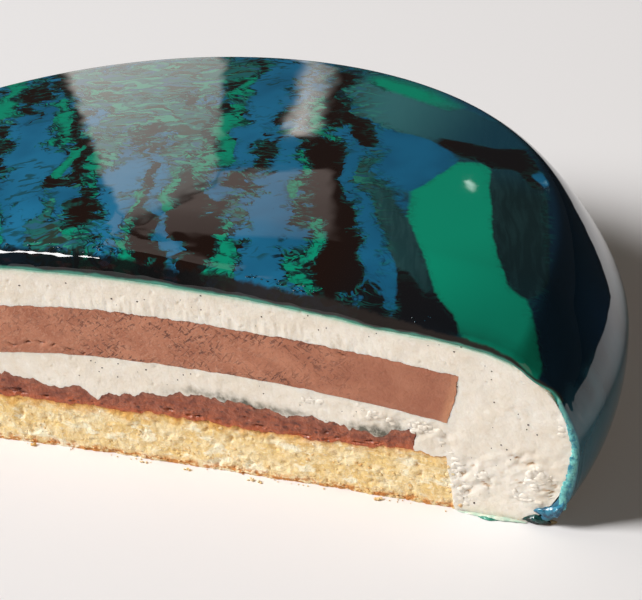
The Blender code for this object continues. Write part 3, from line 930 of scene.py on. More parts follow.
def lip(s, colour):
    """Painted shade: a dark band over the lip for the dark reflection of its roll, and the thin pale line
    along its lower edge.
    """
    fray = s.noise(3.0, detail=3.0, roughness=0.6)
    band = s.plus(s.attribute("band"), s.centred(fray, 1.1))
    # The colours of the painted shade band, reddish in places and greyer to the right
    reddish_shade = s.noise((5.0, 2.0, 2.0), detail=3.0)
    dark = s.blend(s.span(reddish_shade, 0.52, 0.6), (15, 16, 17), (30, 20, 20))
    dark = s.blend(s.span_mm(s.at[0], 14.0, 36.0), dark, (42, 37, 35))
    colour = s.blend(s.span(band, 0.8, 1.3, 0.97, 0.0), colour, dark)
    line_fray = s.noise(5.0, shift=(8.0, 0.0, 0.0))
    edge = s.plus(s.attribute("edge"), s.centred(line_fray, 1.2))
    return s.blend(s.span(edge, 0.05, 0.6, 0.9, 0.0), colour, (70, 140, 122))


def cut_section(s, colour):
    """Where the glaze is cut through it is blue low down, then teal, and pale on the left."""
    x, _, z = s.at
    section = s.blend(s.span_mm(z, 4.0, 14.0), (44, 112, 144), (96, 168, 158))
    section = s.blend(s.span(s.noise(1.3, detail=3.0), 0.35, 0.7), section, (40, 100, 112))
    section = s.blend(s.span_mm(z, 25.0, 29.0, 0.0, 0.8), section, (74, 160, 138))
    pale = s.span(s.noise(4.0, shift=(30.0, 0.0, 0.0)), 0.4, 0.6, 0.2, 0.9)
    section = s.blend(s.times(pale, s.span_mm(x, 8.0, -4.0)), section, (160, 200, 182))
    return s.blend(s.attribute("rim"), colour, section)


def glaze_material():
    s = Shader("marbled_glaze")
    patches = s.noise(8.0, detail=1.0, shift=(3.0, 60.0, 0.0))
    colour = right_end(s, marbled(s, patches), patches)
    colour = cut_section(s, lip(s, colour))
    swell = s.noise(6.0, detail=1.0)
    return s.finish(colour, 0.035, s.bump(swell, 0.03), Specular_IOR_Level=0.5, IOR=1.45)


# ---------------------------------------------------------------- the layers inside

ALL_SIDES = ("top", "bottom", "front", "back", "left", "right")

# Amount and size of the unevenness of each edge at the cut in millimetres, its seed, and how
# strong its finer waves are
TABLE_EDGE = (0.0, 1.0, 40, 0.6)
SPONGE_EDGE = (0.9, 3.0, 41, 0.65)
PRALINE_EDGE = (1.4, 1.8, 43, 0.6)
CREMEUX_LOW_EDGE = (0.22, 2.2, 45, 0.62)
CREMEUX_TOP_EDGE = (0.4, 1.3, 47, 0.65)
EDGE_REACH = 3.0
# The ends of a layer stray in and out by this much at the cut, with waves of this size
END_STRAY = 0.8
END_STRAY_SIZE = 2.4
END_STRAY_IN = 0.3              # and lie this share of it further in
END_STRAY_FROM = 0.9            # from this share of the half width outward

# How far the praline's top is off its smooth form where the knife tore it, at these x
PRALINE_TRIM_AT = (-40.0, -25.0, -13.0, -8.0, -4.0, -2.2, 2.0, 10.0, 16.0, 21.0, 26.0, 34.0, 43.0, 51.0, 58.0)
PRALINE_TRIM = (0.0, -0.7, -1.8, -0.5, -1.6, 0.6, -0.3, 0.4, 1.1, -0.3, -1.6, -0.6, 0.1, -1.5, 0.8)


def near_cut(x, y):
    """1 at the cut, and less and less behind it."""
    return np.exp(-(y - cut_y(x)) / EDGE_REACH)


def unevenness(x, y, edge):
    """How far an edge between two layers strays up or down near the cut."""
    amount, size, seed, gain = edge
    return amount * near_cut(x, y) * noise(on_sheet(x, 0.0 * x), size, seed, octaves=4, gain=gain)


class Layer:
    """A half disc between two surfaces. Its cut face is finer than the rest and has relief."""

    def __init__(self, radii, low_z, top_z, low_edge, top_edge, columns, rows, steps, finer):
        self.radii, self.low_z, self.top_z = radii, low_z, top_z
        self.low_edge, self.top_edge = low_edge, top_edge
        self.size = (columns, rows, steps)
        self.finer = finer

    def edges(self, x, y):
        """The lower and upper surface, with their fine unevenness near the cut."""
        low = self.low_z(x, y) + unevenness(x, y, self.low_edge)
        top = self.top_z(x, y) + unevenness(x, y, self.top_edge)
        return low, top

    def form(self, grow, below, above):
        """The layer with its ring, underside and top moved out by these, and each point's row and share
        of the height."""
        columns, rows, steps = self.size
        faces, i, j, k = lattice(columns, rows, steps, ALL_SIDES, self.finer)
        u = 2.0 * i / columns - 1.0
        t = k / steps
        x, y, _ = plan_points(u, j, rows, mix(*self.radii, t) + grow)
        height = on_sheet(9.0 * t + 50.0 * np.sign(u), 0.0 * x)
        stray = END_STRAY * noise(height, END_STRAY_SIZE, self.top_edge[2] + 100, octaves=3)
        at_end = near_cut(x, y) * smooth(np.abs(u), END_STRAY_FROM, 1.0)
        x = x + np.sign(u) * at_end * (stray - END_STRAY_IN * END_STRAY)
        low, top = self.edges(x, y)
        return x, y, mix(low - below, top + above, t), faces, j, t

    def solid(self, relief):
        x, y, z, faces, j, t = self.form(0.0, 0.0, 0.0)
        front = j == 0
        y = y + np.where(front, relief(x, z, t), 0.0)
        return np.stack([x, y, z], axis=1), faces, front, t

    def pocket(self, ahead, below):
        """The same form a little larger, run out in front of the cut."""
        x, y, z, faces, j, _ = self.form(CORE_GAP, below, CORE_GAP)
        return np.stack([x, y - np.where(j == 0, ahead, 0.0), z], axis=1), faces


def table_z(x, y):
    return 0.0 * x


def praline_low_z(x, y):
    return sponge_top_z(x, y) + CORE_GAP


def praline_torn_z(x, y):
    """The praline's top with the notches and bumps that the cut shows."""
    return praline_top_z(x, y) + np.interp(x, PRALINE_TRIM_AT, PRALINE_TRIM) * near_cut(x, y)


SPONGE = Layer(SPONGE_RADII, table_z, sponge_top_z, TABLE_EDGE, SPONGE_EDGE, 53, 8, 5, 9)
PRALINE = Layer(PRALINE_RADII, praline_low_z, praline_torn_z, SPONGE_EDGE, PRALINE_EDGE, 48, 8, 3, 9)
CREMEUX = Layer(CREMEUX_RADII, cremeux_low_z, cremeux_top_z, CREMEUX_LOW_EDGE, CREMEUX_TOP_EDGE, 48, 8, 4, 9)


def swollen(at, size, seed):
    """Broad swellings from 0 to 1."""
    return 0.5 + 0.5 * noise(at, size, seed)


def over(values, level):
    """What stands over this level, and 0 elsewhere."""
    return np.clip(values - level, 0.0, None)


def sponge_relief(x, z, t):
    at = on_sheet(x, z)
    crumb = 0.2 * noise(at, (1.2, 1.1, 1.0), 53, octaves=3, gain=0.6)
    holes = 0.95 * over(noise(at, (1.7, 1.4, 1.0), 55, octaves=3, gain=0.55), 0.25)
    return np.clip(0.5 * swollen(at, 4.0, 51) + crumb + holes, -0.3, 1.5)


def praline_relief(x, z, t):
    at = on_sheet(x, z)
    near, own = bubbles(at, 1.6, 63)
    lumps = -0.35 * np.where(own > 0.55, over(0.6 - near, 0.0), 0.0)
    low_down = smooth(t, 0.05, 0.15) * smooth(t, 0.6, 0.35)
    cracks = (0.25 + 0.85 * low_down) * over(noise(at, (2.0, 0.7, 1.0), 67, octaves=2), 0.28)
    return 0.4 * swollen(at, 3.0, 61) + lumps + cracks + 0.12 * noise(at, 0.9, 69, octaves=2)


# x, height, half width, half height and depth of small hollows in the cut face of the insert
CREMEUX_PITS = (
    (-21.0, 22.0, 1.5, 0.28, 0.5), (-17.6, 22.8, 1.1, 0.3, 0.55), (-14.8, 23.3, 1.2, 0.28, 0.5),
    (-12.2, 22.9, 0.8, 0.25, 0.5), (-8.9, 22.5, 0.9, 0.3, 0.5), (-6.0, 21.9, 0.7, 0.25, 0.45),
    (-2.4, 22.6, 0.6, 0.25, 0.4), (47.2, 29.4, 1.0, 0.25, 0.5), (66.0, 30.4, 0.5, 0.3, 0.4),
)
PIT_WAVE = 0.25                 # the hollows wave up and down by this much along their length


def hollows(x, z, spots, sharp=1.6):
    """Depth of wavy hollows, given as CREMEUX_PITS are. The sharper they are, the smaller."""
    depth = np.zeros(len(x))
    for spot_x, spot_z, half, high, deep in spots:
        wave = spot_z + PIT_WAVE * np.sin((x - spot_x) * 2.6 + spot_x)
        off = ((x - spot_x) / half) ** 2 + ((z - wave) / high) ** 2
        depth += deep * np.exp(-off * sharp)
    return depth


def cremeux_relief(x, z, t):
    at = on_sheet(x, z)
    rounded = 0.08 * (smooth(t, 0.08, 0.0) + smooth(t, 0.93, 1.0))
    waves = 0.1 * noise(at, 5.0, 75) + 0.05 * noise(at, 1.3, 73, octaves=2)
    return 0.04 + rounded + waves + hollows(x, z, CREMEUX_PITS)


def make_layer(name, layer, relief, material, node):
    points, faces, front, t = layer.solid(relief)
    piece = add_mesh(name, points, faces, material)
    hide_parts(node)
    x, y, z = points.T
    low, top = layer.edges(x, y)
    end_x = mix(ring_end(layer.radii[0])[0], ring_end(layer.radii[1])[0], t)
    set_attribute(piece, "from_low", z - low)
    set_attribute(piece, "from_top", top - z)
    set_attribute(piece, "from_end", end_x - x)
    set_attribute(piece, "cavity", np.where(front, relief(x, z, t), 0.0))


# ---------------------------------------------------------------- mousse

MOUSSE_COLUMNS = 44
MOUSSE_ROWS = 14
MOUSSE_ROLL_ROWS = 4
MOUSSE_LOWER = 4
MOUSSE_SHOULDER = 6
MOUSSE_STEPS = MOUSSE_LOWER + MOUSSE_SHOULDER
MOUSSE_FINER = 11
MOUSSE_LEDGE = 0.1              # how far the highest row of the cut face lies under its top edge
PROFILE_LOWER = 64              # steps of the side's profile from which its directions are taken
PROFILE_SHOULDER = 96
SLOPE_STEP = 0.05
ON_CUT = 0.02                   # points no further than this from the cut belong to its face
LIP_SAMPLES = 400
LIP_REACH = 92.0 / 91.5         # the samples of the lip run a little past its ends
POCKET_AHEAD = 0.06             # how far the pockets for the layers run out of the cut face
# The layers that lie in pockets of the mousse, and how far each pocket reaches under its layer
POCKETS = ((SPONGE, 3.0), (PRALINE, 1.0), (CREMEUX, CORE_GAP))

# Where the mousse is crumbly, and where the knife tore it, given as CREMEUX_PITS are
CRUMBLY = (
    (62.0, 16.0, 5.0, 2.2, 1.0), (68.5, 7.0, 3.0, 5.0, 1.0), (74.0, 9.0, 4.0, 3.0, 0.8),
    (84.0, 9.0, 4.5, 5.0, 1.0), (79.0, 13.0, 4.0, 1.6, 0.8), (88.5, 22.0, 1.2, 5.0, 0.7),
    (40.0, 19.0, 5.0, 1.2, 0.4), (52.0, 17.5, 6.0, 1.6, 0.7),
)
MOUSSE_TEARS = (
    (79.0, 13.6, 1.2, 0.35, 0.7), (81.6, 12.6, 1.5, 0.4, 0.8), (84.6, 7.6, 1.3, 0.4, 0.9),
    (72.6, 6.6, 1.4, 0.45, 0.8), (70.6, 10.0, 0.6, 0.4, 0.6), (72.4, 9.4, 0.6, 0.4, 0.6),
    (79.4, 8.6, 1.6, 0.4, 0.6), (82.8, 9.8, 1.4, 0.35, 0.6), (78.4, 4.6, 1.0, 0.4, 0.5),
    (86.0, 9.0, 0.7, 0.4, 0.8), (68.4, 8.2, 0.8, 0.6, 0.8), (69.0, 4.4, 0.9, 0.6, 0.8),
)

# x, half width, half height and strength of grey-green traces over the praline
SMEARS = (
    (11.0, 2.6, 0.9, 0.4), (16.0, 2.8, 1.0, 0.7), (21.5, 2.8, 1.3, 1.2), (26.0, 2.6, 1.2, 1.2),
    (31.0, 3.4, 1.1, 1.0), (36.0, 2.6, 0.9, 0.7), (48.5, 2.6, 1.1, 1.1), (52.5, 2.8, 1.3, 1.5),
    (56.5, 2.2, 1.1, 1.1),
)
SMEAR_RISE = 0.4


def mousse_skin(column, columns, row, step):
    return skin_points(
        column, columns, row, MOUSSE_ROWS, step, MOUSSE_LOWER, MOUSSE_SHOULDER, MOUSSE_ROLL_ROWS)


def mousse_lattice():
    """The mousse before its pockets are cut: inside the glaze, flat below, and flat across the cut."""
    faces, i, j, k = lattice(MOUSSE_COLUMNS, MOUSSE_ROWS, MOUSSE_STEPS, ALL_SIDES, MOUSSE_FINER)
    row = j.astype(float)
    skin, thick, _ = mousse_skin(i, MOUSSE_COLUMNS, row, k)
    shrunk = skin - skin_normals(skin, k) * (thick + CORE_GAP)[:, None]
    u = 2.0 * i / MOUSSE_COLUMNS - 1.0
    base_x, base_y, _ = plan_points(u, row, MOUSSE_ROWS, MOUSSE_BASE_RADIUS, MOUSSE_ROLL_ROWS)
    points = np.where((k == 0)[:, None], on_sheet(base_x, base_y), shrunk)
    front = j == 0
    at_end = (i == 0) | (i == MOUSSE_COLUMNS)
    top = {i[n]: points[n] for n in np.nonzero(front & (k == MOUSSE_STEPS))[0]}
    ends = {(i[n] > 0, k[n]): points[n] for n in np.nonzero(front & at_end)[0]}
    inside = front & ~at_end & (k > 0) & (k < MOUSSE_STEPS)
    for n in np.nonzero(inside)[0]:
        points[n] = cut_face_point(i[n], k[n], top, ends)
    return points, faces


def skin_normals(skin, k):
    """The outward directions of the skin, worked out from its form in finer steps than its own."""
    x, y, _ = skin.T
    side = side_profile(PROFILE_LOWER, PROFILE_SHOULDER)
    at = np.interp(k, (0, MOUSSE_LOWER, MOUSSE_STEPS), (0, PROFILE_LOWER, PROFILE_LOWER + PROFILE_SHOULDER))
    run, rise = (np.interp(at, np.arange(len(side)), grade) for grade in np.gradient(side, axis=0).T)
    length = np.hypot(run, rise)
    radius = np.hypot(x, y)
    normal = np.stack([x / radius * rise, y / radius * rise, -run], axis=1) / length[:, None]

    def height(px, py):
        high = dome_z(np.hypot(px, py))
        return high - press(px, high, np.clip(py - cut_y(px), 0.0, None))

    slope_x = (height(x + SLOPE_STEP, y) - height(x - SLOPE_STEP, y)) / (2.0 * SLOPE_STEP)
    slope_y = (height(x, y + SLOPE_STEP) - height(x, y)) / SLOPE_STEP
    up = np.stack([-slope_x, -slope_y, np.ones_like(x)], axis=1)
    up /= np.linalg.norm(up, axis=1, keepdims=True)
    top = k >= MOUSSE_STEPS
    normal = np.where(top[:, None], up, normal)
    lip = top & (y - cut_y(x) < 1e-6)
    normal[lip] = (0.0, -1.0, 0.0)
    return normal


def cut_face_point(column, step, top, ends):
    """A point inside the cut face, between the base, the top edge and the two ends."""
    u = 2.0 * column / MOUSSE_COLUMNS - 1.0
    base_end_x, _ = ring_end(MOUSSE_BASE_RADIUS)
    high = top[column]
    share = step / (MOUSSE_STEPS - 1.0 / MOUSSE_FINER) * (1.0 - MOUSSE_LEDGE / high[2])
    end = ends[(column > 0.5 * MOUSSE_COLUMNS, step)]
    end_top = ends[(column > 0.5 * MOUSSE_COLUMNS, MOUSSE_STEPS)]
    weight = abs(u) ** 3
    end_bend = end[0] - mix(math.copysign(base_end_x, u), end_top[0], share)
    x = mix(base_end_x * u, high[0], share) + weight * end_bend
    z = high[2] * share + weight * (end[2] - end_top[2] * share)
    return x, cut_y(x), z


def cut_pocket(body, layer, below):
    """Cuts a layer's pocket out of the mousse and removes the cutter."""
    points, faces = layer.pocket(POCKET_AHEAD, below)
    cutter = add_mesh("pocket", points, faces, None)
    triangulate(cutter)
    boolean = body.modifiers.new("pocket", "BOOLEAN")
    boolean.operation = "DIFFERENCE"
    boolean.solver = "MANIFOLD"
    boolean.object = cutter
    apply_modifiers(body)
    bpy.data.objects.remove(cutter, do_unlink=True)


def triangulate(obj):
    modifier = obj.modifiers.new("triangles", "TRIANGULATE")
    modifier.quad_method = "FIXED"
    apply_modifiers(obj)


def apply_modifiers(obj):
    """Puts the object's evaluated mesh in place of its own."""
    bpy.context.view_layer.update()
    graph = bpy.context.evaluated_depsgraph_get()
    mesh = bpy.data.meshes.new_from_object(obj.evaluated_get(graph))
    old = obj.data
    obj.modifiers.clear()
    obj.data = mesh
    name = old.name
    bpy.data.meshes.remove(old)
    mesh.name = name


def mousse_relief(x, z):
    """How far the cut face of the mousse is dragged and torn back."""
    at = on_sheet(x, z)
    soft = 0.14 * noise(at, 5.0, 81) + 0.05 * noise(at, 1.5, 83, octaves=2)
    above = z - cremeux_top_z(x, cut_y(x))
    beside = smooth(x, -12.0, 4.0) * smooth(x, 60.0, 45.0)
    dragged = (0.25 + 0.75 * beside) * smooth(x, 66.0, 60.0)
    dragged = dragged * smooth(above, -0.3, 0.2) * smooth(above, 5.0, 1.5)
    ticks = 0.15 * dragged * noise(at, (0.65, 3.0, 1.0), 85, octaves=2)
    near, own = bubbles(at, 1.5, 87)
    pits = 1.6 * np.where(own > 0.8, over(0.24 - near, 0.0), 0.0)
    crumbly = np.clip(hollows(x, z, CRUMBLY, 0.8), 0.0, 1.0)
    lumps = -0.55 * crumbly * noise(at, (2.0, 1.4, 1.0), 89, octaves=3, gain=0.6)
    return 0.05 + soft + ticks + pits + lumps + 0.45 * hollows(x, z, MOUSSE_TEARS)


def smears():
    """The traces as hollows, with their height over the praline."""
    for x, half, high, strength in SMEARS:
        at = np.array([x])
        yield x, float(praline_torn_z(at, cut_y(at))[0]) + SMEAR_RISE, half, high, strength


def places(obj):
    """Where the points of a mesh are, in millimetres from the cake's axis."""
    flat = np.empty(3 * len(obj.data.vertices))
    obj.data.vertices.foreach_get("co", flat)
    return flat.reshape(-1, 3) / MM - SHIFT


def lip_z(x):
    """The height of the glaze's lower edge over the cut at these x."""
    along = 0.5 + 0.5 * LIP_REACH * np.linspace(-1.0, 1.0, LIP_SAMPLES)
    edge, _, _ = mousse_skin(along, 1.0, np.zeros(LIP_SAMPLES), np.full(LIP_SAMPLES, float(MOUSSE_STEPS)))
    return np.interp(x, edge[:, 0], edge[:, 2])


def make_mousse(material):
    points, faces = mousse_lattice()
    body = add_mesh("mousse_body", points, faces, material)
    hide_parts("vanilla_mousse")
    triangulate(body)
    for layer, below in POCKETS:
        cut_pocket(body, layer, below)
    at = places(body)
    x, y, z = at.T
    front = np.abs(y - cut_y(x)) < ON_CUT
    cavity = np.where(front, mousse_relief(x, z), 0.0)
    at[:, 1] += cavity
    body.data.vertices.foreach_set("co", ((at + SHIFT) * MM).ravel())
    body.data.update()
    body.data.shade_smooth()
    body.data.set_sharp_from_angle(angle=SHARP_ANGLE)
    set_attribute(body, "from_lip", lip_z(x) - z)
    set_attribute(body, "cavity", cavity)
    set_attribute(body, "smear", np.where(front, hollows(x, z, smears(), 1.0), 0.0))
    set_attribute(body, "tear", np.where(front, hollows(x, z, MOUSSE_TEARS), 0.0))


# ---------------------------------------------------------------- crumbs, specks and traces of glaze

def ball(rings, slices):
    """Directions on a unit ball, and its faces."""
    points = [(0.0, 0.0, 1.0)]
    for ring in range(1, rings):
        down = math.pi * ring / rings
        for n in range(slices):
            turn = 2.0 * math.pi * (n + 0.5 * (ring % 2)) / slices
            points.append((math.sin(down) * math.cos(turn), math.sin(down) * math.sin(turn), math.cos(down)))
    points.append((0.0, 0.0, -1.0))
    last = len(points) - 1
    faces = []
    for n in range(slices):
        m = (n + 1) % slices
        faces.append((0, 1 + n, 1 + m))
        for ring in range(rings - 2):
            top, low = 1 + ring * slices, 1 + (ring + 1) * slices
            faces.append((top + n, low + n, low + m, top + m))
        low = 1 + (rings - 2) * slices
        faces.append((low + n, last, low + m))
    return np.array(points), faces


def add_balls(name, spots, material, seed, rough=0.25, rings=6, slices=9):
    """One mesh of uneven balls, each with its centre and three radii."""
    directions, ball_faces = ball(rings, slices)
    points, faces = [], []
    for n, (centre, radii) in enumerate(spots):
        lumpy = 1.0 + rough * noise(directions + 10.0 * n, 0.8, seed, octaves=2)
        points.append(np.asarray(centre) + directions * np.asarray(radii) * lumpy[:, None])
        faces += [[m + n * len(directions) for m in face] for face in ball_faces]
    return add_mesh(name, np.concatenate(points), faces, material)


def face_spot(x, z, relief, ahead=0.0):
    """A place on a cut face, this far in front of it."""
    x, z = np.array([x]), np.array([z])
    return float(x[0]), float((cut_y(x) + relief(x, z))[0] - ahead), float(z[0])


# x and height of the larger vanilla specks
VANILLA_AT = (
    (69.2, 26.4), (76.5, 15.7), (77.5, 14.9), (75.1, 11.1), (70.0, 2.2), (83.6, 19.1), (82.1, 20.9),
    (88.0, 26.0), (69.4, 33.6), (2.0, 34.7), (7.3, 34.8), (20.6, 37.8), (20.2, 34.8), (32.3, 35.0),
    (6.7, 20.2), (-2.6, 19.3), (-4.7, 20.6), (1.0, 20.7), (-7.0, 36.9), (-17.0, 35.2), (45.0, 34.6),
    (76.0, 24.4),
)
VANILLA_SIZE = (0.14, 0.24)
VANILLA_THICK = 0.08
# The smaller ones are strewn over the mousse, clear of the glaze and of the thin ends of the cut
MORE_VANILLA = 70
STREWN_X = (-86.0, 86.0)
STREWN_Z = (2.0, 37.0)
STREWN_SIZE = (0.06, 0.15)
STREWN_THICK = 0.06
STREWN_UNDER_TOP = 1.5
END_FROM_X = 78.0
END_MIDDLE_Z = 18.0
END_HALF_Z = 8.0
LAYER_CLEARANCE = 0.5


def in_mousse(x, z):
    """Whether a place on the cut shows mousse, clear of the glaze and of the thin ends."""
    at = np.array([x])
    y = cut_y(at)
    for layer in (SPONGE, PRALINE, CREMEUX):
        low, top = layer.edges(at, y)
        level = low[0] - LAYER_CLEARANCE < z < top[0] + LAYER_CLEARANCE
        if level and abs(x) < max(layer.radii) + LAYER_CLEARANCE:
            return False
    under_glaze = z < float(dome_height(at, y)[0]) - STREWN_UNDER_TOP
    return under_glaze and (abs(x) < END_FROM_X or abs(z - END_MIDDLE_Z) < END_HALF_Z)


def make_vanilla_specks():
    random = np.random.default_rng(11)
    spots = []
    for x, z in VANILLA_AT:
        size = random.uniform(*VANILLA_SIZE)
        radii = size, VANILLA_THICK, size * random.uniform(0.6, 1.0)
        spots.append((face_spot(x, z, mousse_relief), radii))
    while len(spots) < len(VANILLA_AT) + MORE_VANILLA:
        x, z = random.uniform(*STREWN_X), random.uniform(*STREWN_Z)
        size = random.uniform(*STREWN_SIZE)
        if in_mousse(x, z):
            spots.append((face_spot(x, z, mousse_relief), (size, STREWN_THICK, size)))
    s = Shader("vanilla_specks")
    colour = s.blend(s.noise(0.5), (38, 28, 24), (92, 74, 60))
    add_balls("vanilla_specks", spots, s.finish(colour, 0.6), 91, rings=4, slices=7)


# Patches of loose curds of mousse on the cut, as x, height, spread across, spread up and how many
CURD_PATCHES = (
    (61.5, 16.2, 3.2, 1.2, 20), (67.6, 9.0, 1.2, 4.0, 16), (68.4, 3.0, 1.6, 1.6, 10),
    (72.5, 7.5, 2.2, 1.6, 10), (83.4, 9.6, 3.0, 2.2, 22), (80.0, 5.0, 2.6, 1.0, 10),
    (88.2, 22.0, 0.6, 3.0, 8), (52.0, 17.6, 4.0, 0.7, 12), (40.5, 18.6, 2.6, 0.6, 8),
)
CURD_SIZE = (0.3, 0.9)
CURD_LOWEST_Z = 0.6
CURD_SUNK = 0.22                # share of its size by which a curd lies back in the cut
FAR = 9.0                       # for loose pieces: no edge of the layer is near


def make_curds(material):
    random = np.random.default_rng(13)
    spots = []
    for x, z, across, up, count in CURD_PATCHES:
        for _ in range(count):
            at_x = x + random.normal(0.0, 0.6) * across
            at_z = max(CURD_LOWEST_Z, z + random.normal(0.0, 0.6) * up)
            size = random.uniform(*CURD_SIZE)
            radii = size * random.uniform(0.8, 1.5), 0.4 * size, size * random.uniform(0.5, 1.0)
            spots.append((face_spot(at_x, at_z, mousse_relief, -CURD_SUNK * size), radii))
    curds = add_balls("mousse_curds", spots, material, 93, rough=0.35, rings=8, slices=12)
    set_attribute(curds, "from_lip", np.full(len(curds.data.vertices), FAR))


CUT_CRUMBS = 520                # strewn over the cut of the sponge, and more of them at its foot
CUT_CRUMBS_HIGH = 0.6           # share of them that lies at any height
CUT_CRUMBS_X = (-65.5, 66.0)
CUT_CRUMBS_Z = (0.3, 9.6)
CUT_CRUMB_SIZE = (0.12, 0.42)
END_CRUMBS = 46
SPONGE_END_X = 66.2             # the right end of the sponge, where these lie
END_CRUMB_SIZE = (0.25, 0.6)
TABLE_CRUMBS = 30
TABLE_CRUMB_SIZE = (0.08, 0.18)
FALLEN_CRUMB_SIZE = (0.15, 0.42)
ON_TABLE = 0.4                  # crumbs further than this in front of the cut lie on the table
# x of larger crumbs that lie on the table, and how far they are in front of the cut
FALLEN_CRUMBS = ((-20.0, 0.7), (3.0, 1.1), (12.0, 1.4), (26.0, 1.7), (28.2, 1.9), (52.0, 1.2))


def make_sponge_crumbs(material):
    """Loose crumb on the cut of the sponge and along its foot."""
    random = np.random.default_rng(17)
    spots = []

    def relief(x, z):
        return sponge_relief(x, z, 0.0 * x)

    for _ in range(CUT_CRUMBS):
        x = random.uniform(*CUT_CRUMBS_X)
        if random.uniform() < CUT_CRUMBS_HIGH:
            z = random.uniform(*CUT_CRUMBS_Z)
        else:
            z = abs(random.normal(0.0, 0.8)) + 0.2
        size = random.uniform(*CUT_CRUMB_SIZE)
        radii = size * random.uniform(0.8, 1.4), 0.55 * size, size * random.uniform(0.6, 1.1)
        spots.append((face_spot(x, z, relief, -0.05), radii))
    for _ in range(END_CRUMBS):
        x, z = SPONGE_END_X + random.normal(0.0, 0.7), random.uniform(0.5, 9.8)
        size = random.uniform(*END_CRUMB_SIZE)
        spots.append((face_spot(x, z, relief), (size, 0.5 * size, 0.9 * size)))
    for x, ahead in FALLEN_CRUMBS:
        for size in random.uniform(*FALLEN_CRUMB_SIZE, 3):
            at_x = x + random.normal(0.0, 0.8)
            y = float(cut_y(at_x)) - ahead + random.normal(0.0, 0.25)
            spots.append(((at_x, y, 0.7 * size), (size, size * random.uniform(0.7, 1.1), 0.75 * size)))
    for _ in range(TABLE_CRUMBS):
        x = random.uniform(-64.0, 66.0)
        size = random.uniform(*TABLE_CRUMB_SIZE)
        y = float(cut_y(x)) - abs(random.normal(0.0, 0.5))
        spots.append(((x, y, 0.7 * size), (size, size, 0.75 * size)))
    crumbs = add_balls("sponge_crumbs", spots, material, 95, rough=0.5)
    at = places(crumbs)
    x, y, z = at.T
    set_attribute(crumbs, "from_top", np.full(len(at), FAR))
    set_attribute(crumbs, "from_low", np.where(y < cut_y(x) - ON_TABLE, FAR, z))
    set_attribute(crumbs, "cavity", 0.6 + 0.5 * noise(at, 2.0, 96))


LOWEST_TRAIL_Z = 0.02
TRAIL_SWELL = 0.4
TRAIL_SIDES = 14
TRAIL_STEPS = 40


def add_trail(name, path, material, seed):
    """An uneven bead along points of (x, y, z, half width, half height)."""
    path = np.array(path, float)
    along = np.linspace(0.0, len(path) - 1.0, TRAIL_STEPS)
    middle = np.stack([np.interp(along, np.arange(len(path)), column) for column in path.T], axis=1)
    run = np.gradient(middle[:, :2], axis=0)
    beside = np.stack([-run[:, 1], run[:, 0]], axis=1) / np.linalg.norm(run, axis=1, keepdims=True)
    points, faces = [], []
    for n, (x, y, z, half, high) in enumerate(middle):
        taper = math.sin(math.pi * (n + 0.3) / (TRAIL_STEPS - 0.4)) ** 0.5
        for m in range(TRAIL_SIDES):
            turn = 2.0 * math.pi * m / TRAIL_SIDES
            at = np.array([[x, 3.0 * math.cos(turn), 3.0 * math.sin(turn)]])
            lumps = float(noise(at, (1.2, 1.5, 1.5), seed, octaves=2)[0])
            swell = taper * (1.0 + TRAIL_SWELL * lumps)
            out = half * swell * math.cos(turn)
            up = high * swell * math.sin(turn)
            points.append((x + beside[n, 0] * out, y + beside[n, 1] * out, max(LOWEST_TRAIL_Z, z + up)))
            if n:
                a = (n - 1) * TRAIL_SIDES + m
                b = (n - 1) * TRAIL_SIDES + (m + 1) % TRAIL_SIDES
                faces.append((a, b, b + TRAIL_SIDES, a + TRAIL_SIDES))
    faces.append(list(range(TRAIL_SIDES))[::-1])
    faces.append([len(points) - TRAIL_SIDES + m for m in range(TRAIL_SIDES)])
    add_mesh(name, points, faces, material)


def trace_material(name, dark, light, size=1.2, roughness=0.12):
    """Glossy glaze that varies between two colours."""
    s = Shader(name)
    cloud = s.noise(size, detail=3.0, roughness=0.6)
    colour = s.blend(s.span(cloud, 0.36, 0.62), dark, light)
    return s.finish(colour, roughness, s.bump(cloud, 0.15), Specular_IOR_Level=0.5, IOR=1.45)


# x, height and half thickness along the cut edge of the glaze at the right end
SECTION_PATH = (
    (89.4, 23.1, 0.2), (90.1, 20.5, 0.4), (90.6, 17.9, 0.5), (90.2, 15.3, 0.5), (89.6, 13.2, 0.55),
    (88.7, 10.5, 0.55), (87.9, 8.5, 0.6), (87.5, 6.6, 0.65), (87.2, 5.0, 0.6),
)
SECTION_BEADS = 80
